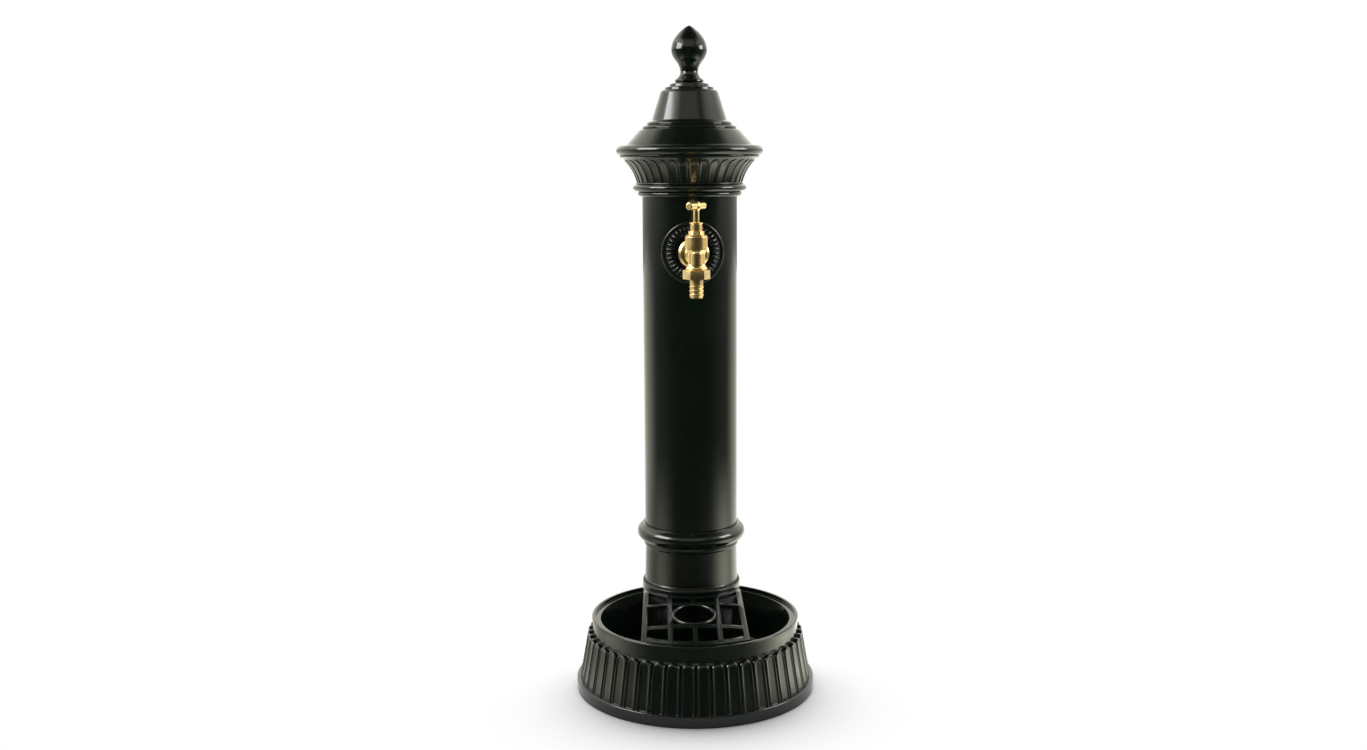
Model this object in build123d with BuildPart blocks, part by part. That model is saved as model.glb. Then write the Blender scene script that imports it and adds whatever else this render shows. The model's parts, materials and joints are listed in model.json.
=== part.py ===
from build123d import *

import os
from math import atan, cos, pi, radians, sin

# Garden water fountain of painted castings: a fluted basin with a sloping grate, a round column
# set at the back of the basin, a capital, a stepped roof with a finial, and a brass screw-down tap.
# Millimetres. +Z is up, the tap points along -Y, and the origin is the centre of the basin's foot.

# Basin
FOOT_R = 200.0
FOOT_TOP_Z = 19.5
FOOT_ROUND = 2.5
CASTING_WALL = 6.5
FOOT_BAND_STEP = 12.5
SKIRT_TAPER = 13.0
SKIRT_TOP_Z = 93.0
BAND_STEP = 1.7
RIM_REACH = 0.8
RIM_Z = 123.3
LIP_WIDTH = 5.4
LIP_DEPTH = 5.0
STEP_WIDTH = 8.7
BOWL_DRAW = 41.5
FLOOR_Z = 50.0

# Flutes of the basin
FLUTE_COUNT = 48
FLUTE_HEIGHT = 6.5
FLUTE_GAP = 1.0
FLUTE_SLOPE = 4.5
FLUTE_TOP_Z = 97.0
FLUTE_FRAME = 2.4
FLUTE_PANEL_DEPTH = 1.9
FLUTE_BED = 2.6

# Column and its place on the basin
COLUMN_SETBACK = 1.0
PEDESTAL_R = 84.6
PEDESTAL_TOP_Z = 157.0
PEDESTAL_WALL = 7.6
PEDESTAL_FLANGE = 8.0
PEDESTAL_HOLE_R = 60.0
SEAL_THICKNESS = 2.0
SEAL_R = 83.4
BASE_FOOT_R = 81.3
BASE_LOW_R = 80.3
BASE_HIGH_R = 78.8
BASE_FLANGE = 10.0
BASE_FLANGE_HOLE_R = 45.0
BASE_INNER_R = 70.0
SOCKET_FLOOR_Z = 226.0
COLLAR_R = 92.8
COLLAR_Z = 245.0
COLLAR_HALF = 13.0
COLLAR_TOP_Z = 260.0
SHAFT_R = 79.5
SHAFT_WALL = 5.0
SOCKET_CLEARANCE = 0.15
SHAFT_TOP_Z = 841.0

# Capital
CAPITAL_FOOT_Z = 820.0
THIN_RING_R = 87.0
THIN_RING_HALF = 4.2
THICK_RING_R = 95.0
THICK_RING_HALF = 5.6
BELL_FOOT_R = 86.5
BELL_FOOT_Z = 841.5
BELL_BOW = 0.338
BELL_MID_Z = 864.0
BELL_TOP_R = 112.5
BELL_TOP_Z = 884.0
CAPITAL_LIP = 4.0
CAPITAL_TOP_Z = 888.0
CAPITAL_WALL = 6.0
LEAF_COUNT = 36
LEAF_HEIGHT = 2.4
LEAF_FOOT_Z = 845.0
LEAF_TOP_Z = 880.0
LEAF_GAP = 1.6
LEAF_FRAME = 2.8
LEAF_PANEL_DEPTH = 1.4

# Roof and finial
CORNICE_REACH = 5.9
CORNICE_HEIGHT = 16.0
EAVES_STEP = 17.4
CONE_TOP_R = 83.5
CONE_TOP_Z = 930.0
ROOF_RING_LOW_R = 78.6
ROOF_RING_HIGH_R = 71.0
SPIRE_FOOT_R = 62.6
SPIRE_FOOT_Z = 945.0
SPIRE_TOP_R = 48.3
SPIRE_TOP_Z = 990.5
ROOF_TOP_Z = 1007.0
FINIAL_FOOT_R = 23.8
FINIAL_NECK_R = 14.4
FINIAL_NECK_Z = 1025.0
FINIAL_BULB_R = 29.5
FINIAL_BULB_Z = 1058.0
FINIAL_TOP_Z = 1099.5

# Grate: a sector of the shallow cone between the rim's step and the pedestal
GRATE_THICKNESS = 6.0
GRATE_FRONT_Z = RIM_Z - LIP_DEPTH + GRATE_THICKNESS
GRATE_BACK_Z = 151.0
GRATE_CLEARANCE = 2.6
GRATE_NOTCH_CLEARANCE = 1.5
GRATE_TURN = 2.3
GRATE_HALF_BACK = 83.0
GRATE_HALF_FRONT = 87.0
GRATE_CORNER_DEPTH = 42.0
GRATE_BORDER = 8.5
GRATE_FRONT_BORDER = 13.0
GRATE_BAR = 8.0
GRATE_FRONT_BAR = 11.5
GRATE_BAR_X = 39.5
GRATE_MID_BAR = 6.5
GRATE_BACK_BAR_STEP = 39.0
GRATE_FRONT_BAR_STEP = 39.5
GRATE_HOLE_R = 31.0
GRATE_RING = 6.0
LEDGE_REACH = 5.5
LEDGE_HEIGHT = 7.0
LEDGE_HALF_ANGLE = 58.0
LEDGE_DROP = 0.86

# Waste in the basin's floor, below the hole in the grate
WASTE_FLANGE_R = 31.0
WASTE_FLANGE = 3.0
WASTE_THREAD_R = 20.0
WASTE_TAIL_R = 19.0
WASTE_TAIL_TOP_Z = 26.0
WASTE_BORE_R = 16.5
WASTE_END_Z = 6.0
WASTE_NUT_AF = 56.0
WASTE_NUT = 7.0
WASTE_WASHER = 2.5
STRAINER_R = 24.0
STRAINER_THICKNESS = 2.0
STRAINER_HOLE_R = 2.6

# Anchor holes through the basin's floor
ANCHOR_SPACING_X = 176.0
ANCHOR_SPACING_Y = 74.0
ANCHOR_HOLE_R = 6.0
ANCHOR_BOSS_R = 12.0

# Fasteners of the column
BOLT_R = 4.0
BOLT_CIRCLE_R = 68.0
BOLT_AF = 13.0
BOLT_HEAD = 5.3
BOLT_LENGTH = 19.0
THREAD_GAP = 0.05
HOLE_GAP = 0.5
ROD_R = 6.0
ROD_START_Z = 132.0
ROD_IN_FINIAL = 38.0
STRAP_LENGTH = 112.0
STRAP_WIDTH = 28.0
STRAP_THICKNESS = 8.0
ROD_WASHER_R = 12.0
ROD_WASHER = 2.5
ROD_NUT_AF = 19.0
ROD_NUT = 10.0

# Medallion
MEDALLION_R = 52.0
MEDALLION_PLATE = 2.0
MEDALLION_RIM = 4.2
MEDALLION_RIM_WIDTH = 4.2
MEDALLION_FIELD_R = 45.5
MEDALLION_HUB_R = 31.0
MEDALLION_BOSS_R = 23.0
PETAL_COUNT = 36
PETAL_HEIGHT = 2.4

# Tap
TAP_Z = 730.0
TAP_REACH = 150.0
FLANGE_R = 25.0
FLANGE_THICKNESS = 6.0
FLANGE_FRONT = 98.0
SHANK_R = 13.2
SHANK_GAP = 0.6
SHANK_BORE_R = 7.5
SHANK_END = 48.0
BARREL_R = 12.0
BODY_TOP_R = 17.9
BODY_TOP_Z = 760.7
BODY_SHOULDER_Z = 738.0
BODY_WAIST_R = 13.8
BODY_WAIST_TOP_Z = 733.0
BODY_WAIST_LOW_Z = 715.0
BODY_FLARE_R = 17.4
BODY_FLARE_Z = 708.0
NOSE_R = 9.0
NOSE_OFFSET = 8.0
PASSAGE_R = 3.2
PASSAGE_OFFSET = 11.0
OUTLET_THREAD_R = 16.6
OUTLET_END_Z = 701.0
OUTLET_BORE_R = 11.0
OUTLET_BORE_TOP_Z = 717.0
SEAT_Z = 738.0
SEAT_LIP = 1.0
SEAT_HOLE_R = 6.0
SEAT_LIP_WIDTH = 1.5
CHAMBER_R = 11.5
POCKET_R = 7.0
POCKET_FLOOR_Z = 722.0
POCKET_TOP_Z = 734.5

# Bonnet, gland, spindle and jumper
BONNET_THREAD_R = 13.2
BONNET_LOW_Z = 751.0
BONNET_AF = 22.5
BONNET_HEX_R = 12.6
BONNET_TOP_Z = 768.6
BONNET_WASHER = 0.8
GLAND_STUB_R = 8.2
GLAND_STUB_TOP_Z = 776.0
GLAND_POCKET_R = 6.9
GLAND_POCKET_Z = 769.2
GLAND_NUT_R = 9.35
GLAND_DISC_R = 10.5
GLAND_DISC = 2.4
GLAND_TOP_Z = 782.0
RUNNING_GAP = 0.06
SPINDLE_THREAD_R = 6.5
SPINDLE_THREAD_TOP_Z = 762.0
SPINDLE_R = 4.8
SPINDLE_HEAD_R = 7.6
HANDLE_Z = 808.0
HANDLE_R = 6.0
HANDLE_LENGTH = 47.0
HANDLE_TURN = 57.0
JUMPER_R = 8.0
JUMPER_WASHER = 3.0
JUMPER_PLATE = 2.5
JUMPER_STEM_R = 2.6
JUMPER_STEM = 11.0
JUMPER_NUT_R = 3.0
JUMPER_NUT = 2.0

# Union and hose tail
UNION_LOW_Z = 692.7
UNION_TOP_Z = 707.0
UNION_AF = 38.0
UNION_FLOOR = 3.0
UNION_HOLE_R = 11.9
TAIL_COLLAR_R = 15.8
TAIL_COLLAR = 2.8
TAIL_NECK_R = 10.6
TAIL_BARB_R = 11.4
TAIL_ROOT_R = 10.0
TAIL_BORE_R = 8.0
TAIL_END_Z = 662.4
TAIL_BARBS = 3
TAIL_BARB_PITCH = 6.4

# Supply line inside the column
PIPE_R = 11.0
PIPE_WALL = 1.0
PIPE_OFFSET = 32.0
SADDLE_R = 20.0
SADDLE_FLAT = 69.0
LOCKNUT_AF = 36.0
LOCKNUT = 7.0
ELBOW_SOCKET_R = 17.0
ELBOW_LEG_R = 14.5
ELBOW_LEG_Z = 694.0
PIPE_DEPTH = 16.0
COMPRESSION_AF = 32.0
COMPRESSION_NUT = 14.0
BRACKET_THICKNESS = 3.0
BRACKET_EYE_R = 17.0
BRACKET_WIDTH = 16.0
SCREW_R = 3.0
SCREW_HEAD_R = 5.5
SCREW_HEAD = 3.0
SCREW_OFFSET = 57.0
SCREW_LENGTH = 9.0
INLET_END_Z = 12.0
INLET_HEX_AF = 34.0
INLET_BODY = 20.0
INLET_THREAD_R = 12.1
INLET_THREAD = 15.0
INLET_NECK_R = 13.0
INLET_NECK = 16.0

# Radii and places worked out from the sizes above
SKIRT_FOOT_R = FOOT_R - FOOT_BAND_STEP
SKIRT_TOP_R = SKIRT_FOOT_R - SKIRT_TAPER
BAND_R = SKIRT_TOP_R - BAND_STEP
RIM_R = BAND_R + RIM_REACH
LIP_INNER_R = RIM_R - LIP_WIDTH
BOWL_R = LIP_INNER_R - STEP_WIDTH
FLOOR_R = BOWL_R - BOWL_DRAW
COLUMN_Y = RIM_R - PEDESTAL_R - COLUMN_SETBACK
BELL_MID_R = BELL_FOOT_R + BELL_BOW * (BELL_TOP_R - BELL_FOOT_R)
CAPITAL_TOP_R = BELL_TOP_R + CAPITAL_LIP
CORNICE_R = CAPITAL_TOP_R + CORNICE_REACH
EAVES_R = CORNICE_R - EAVES_STEP
TAP_Y = COLUMN_Y - TAP_REACH
GRATE_CORNER_Y = COLUMN_Y - GRATE_CORNER_DEPTH
GRATE_BACK_BAR_Y = TAP_Y + GRATE_BACK_BAR_STEP
GRATE_FRONT_BAR_Y = TAP_Y - GRATE_FRONT_BAR_STEP
COLUMN_AXIS = Axis((0, COLUMN_Y, 0), (0, 0, 1))
TAP_AXIS = Axis((0, TAP_Y, 0), (0, 0, 1))
BASIN_PLANE = Plane.XZ
COLUMN_PLANE = Plane.XZ.offset(-COLUMN_Y)
TAP_PLANE = Plane.XZ.offset(-TAP_Y)
BASE_FOOT_Z = PEDESTAL_TOP_Z + SEAL_THICKNESS
FLANGE_TOP_Z = BASE_FOOT_Z + BASE_FLANGE
FLOOR_UNDER_Z = FLOOR_Z - CASTING_WALL
PEDESTAL_BORE_R = PEDESTAL_R - PEDESTAL_WALL
PEDESTAL_FLANGE_Z = PEDESTAL_TOP_Z - PEDESTAL_FLANGE
LEDGE_Z = RIM_Z - LIP_DEPTH
SOCKET_R = SHAFT_R + SOCKET_CLEARANCE
SHAFT_BORE_R = SHAFT_R - SHAFT_WALL
PIPE_Y = COLUMN_Y - PIPE_OFFSET
JUMPER_TOP_Z = SEAT_Z + SEAT_LIP + JUMPER_WASHER + JUMPER_PLATE
HEX_CORNER = 1 / cos(radians(30))


def outline(*corners, mode=Mode.ADD):
    """A closed face with straight sides in the current sketch."""
    with BuildLine() as sides:
        Polyline(*corners, close=True)
    make_face(sides.edges(), mode=mode)


def arch(half_foot, half_top, foot, spring, mode=Mode.ADD):
    """A panel outline with a round top, from the height foot to the arch's spring line."""
    with BuildLine() as sides:
        Polyline((-half_top, spring), (-half_foot, foot), (half_foot, foot), (half_top, spring))
        ThreePointArc((half_top, spring), (0, spring + half_top), (-half_top, spring))
    make_face(sides.edges(), mode=mode)


# One flute of the skirt, standing on the sloping skirt at the front of the basin
skirt_lean = atan((SKIRT_FOOT_R - SKIRT_TOP_R) / (SKIRT_TOP_Z - FOOT_TOP_Z))
skirt_plane = Plane(
    origin=(0, -SKIRT_FOOT_R, FOOT_TOP_Z),
    x_dir=(1, 0, 0),
    z_dir=(0, -cos(skirt_lean), sin(skirt_lean)),
)
flute_half_foot = pi * SKIRT_FOOT_R / FLUTE_COUNT - FLUTE_GAP / 2
flute_half_top = pi * SKIRT_TOP_R / FLUTE_COUNT - FLUTE_GAP / 2
flute_spring = (FLUTE_TOP_Z - FOOT_TOP_Z) / cos(skirt_lean) - flute_half_top
flute_root = 1.0
with BuildPart() as flute:
    with BuildSketch(skirt_plane.offset(-flute_root)):
        arch(flute_half_foot, flute_half_top, -flute_root, flute_spring)
    with BuildSketch(skirt_plane.offset(FLUTE_HEIGHT)):
        arch(flute_half_foot - FLUTE_SLOPE, flute_half_top - FLUTE_SLOPE, -flute_root, flute_spring)
    loft(ruled=True)
    with BuildSketch(skirt_plane.offset(FLUTE_HEIGHT)):
        arch(
            flute_half_foot - FLUTE_SLOPE - FLUTE_FRAME,
            flute_half_top - FLUTE_SLOPE - FLUTE_FRAME,
            -2 * flute_root,
            flute_spring,
        )
    extrude(amount=-FLUTE_PANEL_DEPTH, mode=Mode.SUBTRACT)


def on_skirt(up, height):
    """Radius and level of a point up along the leaning skirt, standing the height proud of it."""
    return (
        SKIRT_FOOT_R - up * sin(skirt_lean) + height * cos(skirt_lean),
        FOOT_TOP_Z + up * cos(skirt_lean) + height * sin(skirt_lean),
    )


# Basin casting: foot band, skirt, rim with its step, bowl and floor in one wall
bowl_low_r = FLOOR_R + 14
bowl_low_z = FLOOR_Z + 9
with BuildPart() as basin:
    with BuildSketch(BASIN_PLANE):
        with BuildLine():
            outer = Polyline(
                (SKIRT_FOOT_R - CASTING_WALL, 0),
                (FOOT_R, 0),
                (FOOT_R, FOOT_TOP_Z - FOOT_ROUND),
            )
            RadiusArc(outer @ 1, (FOOT_R - FOOT_ROUND, FOOT_TOP_Z), -FOOT_ROUND)
            Polyline(
                (FOOT_R - FOOT_ROUND, FOOT_TOP_Z),
                (SKIRT_FOOT_R + FLUTE_BED / cos(skirt_lean), FOOT_TOP_Z),
                on_skirt(flute_spring - FLUTE_BED / 2, FLUTE_BED),
                on_skirt(flute_spring + FLUTE_BED / 2, 0),
                (SKIRT_TOP_R, SKIRT_TOP_Z),
                (BAND_R, SKIRT_TOP_Z + 4),
                (BAND_R, RIM_Z - 8),
                (RIM_R, RIM_Z - 6),
                (RIM_R, RIM_Z - 1.5),
                (RIM_R - 1.5, RIM_Z),
                (LIP_INNER_R + 1, RIM_Z),
                (LIP_INNER_R, RIM_Z - 1),
                (LIP_INNER_R, LEDGE_Z),
                (BOWL_R + 1, LEDGE_Z),
                (BOWL_R, LEDGE_Z - 1),
                (bowl_low_r, bowl_low_z),
            )
            ThreePointArc(
                (bowl_low_r, bowl_low_z),
                (FLOOR_R + 8, FLOOR_Z + 2.6),
                (FLOOR_R, FLOOR_Z),
            )
            Polyline(
                (FLOOR_R, FLOOR_Z),
                (0, FLOOR_Z),
                (0, FLOOR_UNDER_Z),
                (FLOOR_R + 2, FLOOR_UNDER_Z),
                (bowl_low_r + 6, bowl_low_z - 3),
                (BOWL_R + 2, LEDGE_Z - 14),
                (BAND_R - CASTING_WALL, LEDGE_Z - 14),
                (SKIRT_TOP_R - CASTING_WALL, SKIRT_TOP_Z),
                (SKIRT_FOOT_R - CASTING_WALL, 0),
            )
        make_face()
    revolve(axis=Axis.Z)
    with PolarLocations(0, FLUTE_COUNT):
        add(flute.part)
    with BuildSketch(Plane.XY.offset(FLOOR_UNDER_Z)):
        with Locations((0, COLUMN_Y)):
            Circle(PEDESTAL_R)
    extrude(amount=PEDESTAL_TOP_Z - FLOOR_UNDER_Z)
    ledge_side = 2 * PEDESTAL_R * sin(radians(LEDGE_HALF_ANGLE))
    ledge_depth = 2 * PEDESTAL_R * cos(radians(LEDGE_HALF_ANGLE))
    with BuildSketch(Plane.XY.offset(GRATE_BACK_Z - GRATE_THICKNESS - LEDGE_DROP)):
        with Locations((0, COLUMN_Y)):
            Circle(PEDESTAL_R + LEDGE_REACH)
        outline(
            (0, COLUMN_Y),
            (-ledge_side, COLUMN_Y - ledge_depth),
            (0, COLUMN_Y - 3 * PEDESTAL_R),
            (ledge_side, COLUMN_Y - ledge_depth),
            mode=Mode.INTERSECT,
        )
    extrude(amount=-LEDGE_HEIGHT)
    with BuildSketch(Plane.XY.offset(FLOOR_UNDER_Z)):
        with GridLocations(ANCHOR_SPACING_X, ANCHOR_SPACING_Y, 2, 2):
            Circle(ANCHOR_BOSS_R)
    extrude(amount=-FLOOR_UNDER_Z)
    with BuildSketch(Plane.XY.offset(-1)):
        with Locations((0, COLUMN_Y)):
            Circle(PEDESTAL_BORE_R)
    extrude(amount=PEDESTAL_FLANGE_Z + 1, mode=Mode.SUBTRACT)
    with BuildSketch(Plane.XY.offset(PEDESTAL_FLANGE_Z)):
        with Locations((0, COLUMN_Y)):
            Circle(PEDESTAL_HOLE_R)
            with PolarLocations(BOLT_CIRCLE_R, 4, start_angle=45):
                Circle(BOLT_R + HOLE_GAP)
    extrude(amount=PEDESTAL_FLANGE, mode=Mode.SUBTRACT)
    with BuildSketch():
        with GridLocations(ANCHOR_SPACING_X, ANCHOR_SPACING_Y, 2, 2):
            Circle(ANCHOR_HOLE_R)
        with Locations((0, TAP_Y)):
            Circle(WASTE_THREAD_R + HOLE_GAP)
    extrude(amount=FLOOR_Z + 1, mode=Mode.SUBTRACT)
basin.part.label = "basin"

# Grate: the cone's shell, then the plan of its bars cut out of it. It lies loose, so it can sit a
# little turned about the column, and the clearance at its front leaves room for that.
grate_front_r = LIP_INNER_R - GRATE_CLEARANCE
grate_back_r = PEDESTAL_R + GRATE_NOTCH_CLEARANCE
with BuildPart() as cone_below:
    with BuildSketch(Plane.XY.offset(GRATE_FRONT_Z - GRATE_THICKNESS)):
        Circle(grate_front_r)
    with BuildSketch(Plane.XY.offset(GRATE_BACK_Z - GRATE_THICKNESS)):
        with Locations((0, COLUMN_Y)):
            Circle(grate_back_r)
    loft(ruled=True)

with BuildSketch() as window:
    outline(
        (-GRATE_HALF_BACK + GRATE_BORDER, GRATE_CORNER_Y - GRATE_BORDER),
        (GRATE_HALF_BACK - GRATE_BORDER, GRATE_CORNER_Y - GRATE_BORDER),
        (GRATE_HALF_FRONT - GRATE_BORDER, -grate_front_r),
        (-GRATE_HALF_FRONT + GRATE_BORDER, -grate_front_r),
    )
    Circle(grate_front_r - GRATE_FRONT_BORDER, mode=Mode.INTERSECT)
    with Locations((0, COLUMN_Y)):
        Circle(grate_back_r + GRATE_BAR, mode=Mode.SUBTRACT)

with BuildSketch() as bars:
    with Locations((0, GRATE_BACK_BAR_Y)):
        Rectangle(2 * GRATE_HALF_FRONT, GRATE_BAR)
    with Locations((0, GRATE_FRONT_BAR_Y)):
        Rectangle(2 * GRATE_HALF_FRONT, GRATE_FRONT_BAR)
    with Locations((-GRATE_BAR_X, 0), (GRATE_BAR_X, 0)):
        Rectangle(GRATE_BAR, 2 * grate_front_r)
    Rectangle(GRATE_MID_BAR, 2 * grate_front_r)
    with Locations((0, TAP_Y)):
        Circle(GRATE_HOLE_R + GRATE_RING)
        Circle(GRATE_HOLE_R, mode=Mode.SUBTRACT)
    add(window.sketch, mode=Mode.INTERSECT)

with BuildSketch(Plane.XY) as grate_plan:
    outline(
        (-GRATE_HALF_BACK, GRATE_CORNER_Y),
        (GRATE_HALF_BACK, GRATE_CORNER_Y),
        (GRATE_HALF_FRONT, -grate_front_r),
        (-GRATE_HALF_FRONT, -grate_front_r),
    )
    Circle(grate_front_r, mode=Mode.INTERSECT)
    with Locations((0, COLUMN_Y)):
        Circle(grate_back_r, mode=Mode.SUBTRACT)
    add(window.sketch, mode=Mode.SUBTRACT)
    add(bars.sketch)

with BuildPart() as grate:
    with BuildSketch(Plane.XY.offset(GRATE_FRONT_Z)):
        Circle(grate_front_r)
    with BuildSketch(Plane.XY.offset(GRATE_BACK_Z)):
        with Locations((0, COLUMN_Y)):
            Circle(grate_back_r)
    loft(ruled=True)
    with BuildSketch(Plane.XY.offset(GRATE_FRONT_Z)):
        Circle(grate_front_r)
    extrude(amount=-GRATE_THICKNESS)
    add(cone_below.part, mode=Mode.SUBTRACT)
    extrude(grate_plan.sketch, amount=GRATE_BACK_Z + 1, mode=Mode.INTERSECT)
grate.part = grate.part.rotate(COLUMN_AXIS, -GRATE_TURN)
grate.part.label = "grate"

# Column base: socket casting with the collar, standing on the pedestal with a rubber ring between
with BuildPart() as column_seal:
    with BuildSketch(Plane.XY.offset(PEDESTAL_TOP_Z)):
        with Locations((0, COLUMN_Y)):
            Circle(SEAL_R)
            Circle(PEDESTAL_HOLE_R, mode=Mode.SUBTRACT)
            with PolarLocations(BOLT_CIRCLE_R, 4, start_angle=45):
                Circle(BOLT_R + HOLE_GAP, mode=Mode.SUBTRACT)
    extrude(amount=SEAL_THICKNESS)
column_seal.part.label = "column_seal"

with BuildPart() as column_base:
    with BuildSketch(COLUMN_PLANE):
        with BuildLine():
            Polyline(
                (BASE_FLANGE_HOLE_R, BASE_FOOT_Z),
                (BASE_FOOT_R, BASE_FOOT_Z),
                (BASE_FOOT_R, BASE_FOOT_Z + 1.6),
                (BASE_LOW_R, BASE_FOOT_Z + 3),
                (BASE_HIGH_R, COLLAR_Z - COLLAR_HALF - 11),
                (BASE_HIGH_R + 3, COLLAR_Z - COLLAR_HALF - 8),
                (BASE_HIGH_R + 3, COLLAR_Z - COLLAR_HALF - 5),
                (BASE_HIGH_R + 2, COLLAR_Z - COLLAR_HALF - 2),
                (COLLAR_R - 9, COLLAR_Z - COLLAR_HALF),
            )
            ThreePointArc(
                (COLLAR_R - 9, COLLAR_Z - COLLAR_HALF),
                (COLLAR_R, COLLAR_Z),
                (COLLAR_R - 8, COLLAR_Z + COLLAR_HALF - 1),
            )
            Polyline(
                (COLLAR_R - 8, COLLAR_Z + COLLAR_HALF - 1),
                (COLLAR_R - 9, COLLAR_Z + COLLAR_HALF),
                (COLLAR_R - 9, COLLAR_TOP_Z - 0.6),
                (COLLAR_R - 10, COLLAR_TOP_Z),
                (SOCKET_R, COLLAR_TOP_Z),
                (SOCKET_R, SOCKET_FLOOR_Z),
                (BASE_INNER_R, SOCKET_FLOOR_Z),
                (BASE_INNER_R, FLANGE_TOP_Z),
                (BASE_FLANGE_HOLE_R, FLANGE_TOP_Z),
                (BASE_FLANGE_HOLE_R, BASE_FOOT_Z),
            )
        make_face()
    revolve(axis=COLUMN_AXIS)
    with BuildSketch(Plane.XY.offset(BASE_FOOT_Z)):
        with Locations((0, COLUMN_Y)):
            with PolarLocations(BOLT_CIRCLE_R, 4, start_angle=45):
                Circle(BOLT_R + THREAD_GAP)
        with Locations((0, COLUMN_Y - SCREW_OFFSET)):
            Circle(SCREW_R + THREAD_GAP)
    extrude(amount=BASE_FLANGE, mode=Mode.SUBTRACT)
column_base.part.label = "column_base"

# Four bolts, put in from below through the pedestal's flange into the column base
with BuildPart() as column_bolts:
    with BuildSketch(Plane.XY.offset(PEDESTAL_FLANGE_Z - BOLT_HEAD)):
        with Locations((0, COLUMN_Y)):
            with PolarLocations(BOLT_CIRCLE_R, 4, start_angle=45):
                RegularPolygon(BOLT_AF / 2 * HEX_CORNER, 6)
    extrude(amount=BOLT_HEAD)
    with BuildSketch(Plane.XY.offset(PEDESTAL_FLANGE_Z)):
        with Locations((0, COLUMN_Y)):
            with PolarLocations(BOLT_CIRCLE_R, 4, start_angle=45):
                Circle(BOLT_R)
    extrude(amount=BOLT_LENGTH)
column_bolts.part.label = "column_bolts"

# Tube of the column, with the hole for the tap's shank
with BuildPart() as column_shaft:
    with BuildSketch(Plane.XY.offset(SOCKET_FLOOR_Z)):
        with Locations((0, COLUMN_Y)):
            Circle(SHAFT_R)
            Circle(SHAFT_BORE_R, mode=Mode.SUBTRACT)
    extrude(amount=SHAFT_TOP_Z - SOCKET_FLOOR_Z)
    with BuildSketch(COLUMN_PLANE):
        with Locations((0, TAP_Z)):
            Circle(SHANK_R + SHANK_GAP)
    extrude(amount=SHAFT_R + 1, mode=Mode.SUBTRACT)
column_shaft.part.label = "column_shaft"

# One leaf of the capital: an arched panel cut out of the bell's skin
leaf_half_foot = pi * BELL_FOOT_R / LEAF_COUNT - LEAF_GAP / 2
leaf_half_top = pi * BELL_TOP_R / LEAF_COUNT - LEAF_GAP / 2
leaf_spring = LEAF_TOP_Z - leaf_half_top
leaf_plane = COLUMN_PLANE.offset(BELL_FOOT_R - CAPITAL_WALL / 2)
leaf_reach = BELL_TOP_R - BELL_FOOT_R + CAPITAL_WALL


def bell_skin(height):
    """Section of a skin that stands the given height proud of the bell, with its root in the bell."""
    with BuildLine() as section:
        ThreePointArc(
            (BELL_FOOT_R + height, BELL_FOOT_Z),
            (BELL_MID_R + height, BELL_MID_Z),
            (BELL_TOP_R + height, BELL_TOP_Z),
        )
        Polyline(
            (BELL_TOP_R + height, BELL_TOP_Z),
            (BELL_TOP_R - 1, BELL_TOP_Z),
            (BELL_MID_R - 1, BELL_MID_Z),
            (BELL_FOOT_R - 1, BELL_FOOT_Z),
            (BELL_FOOT_R + height, BELL_FOOT_Z),
        )
    make_face(section.edges())


with BuildPart() as panel_skin:
    with BuildSketch(COLUMN_PLANE):
        bell_skin(LEAF_HEIGHT - LEAF_PANEL_DEPTH)
    revolve(axis=COLUMN_AXIS)
    with BuildSketch(leaf_plane):
        arch(leaf_half_foot - LEAF_FRAME, leaf_half_top - LEAF_FRAME, LEAF_FOOT_Z, leaf_spring)
    extrude(amount=leaf_reach, mode=Mode.INTERSECT)

with BuildPart() as leaf:
    with BuildSketch(COLUMN_PLANE):
        bell_skin(LEAF_HEIGHT)
    revolve(axis=COLUMN_AXIS)
    with BuildSketch(leaf_plane):
        arch(leaf_half_foot, leaf_half_top, LEAF_FOOT_Z, leaf_spring)
        arch(
            leaf_half_foot - LEAF_FRAME,
            leaf_half_top - LEAF_FRAME,
            LEAF_FOOT_Z,
            leaf_spring,
            mode=Mode.SUBTRACT,
        )
    extrude(amount=leaf_reach, mode=Mode.INTERSECT)
    add(panel_skin.part)

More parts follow.
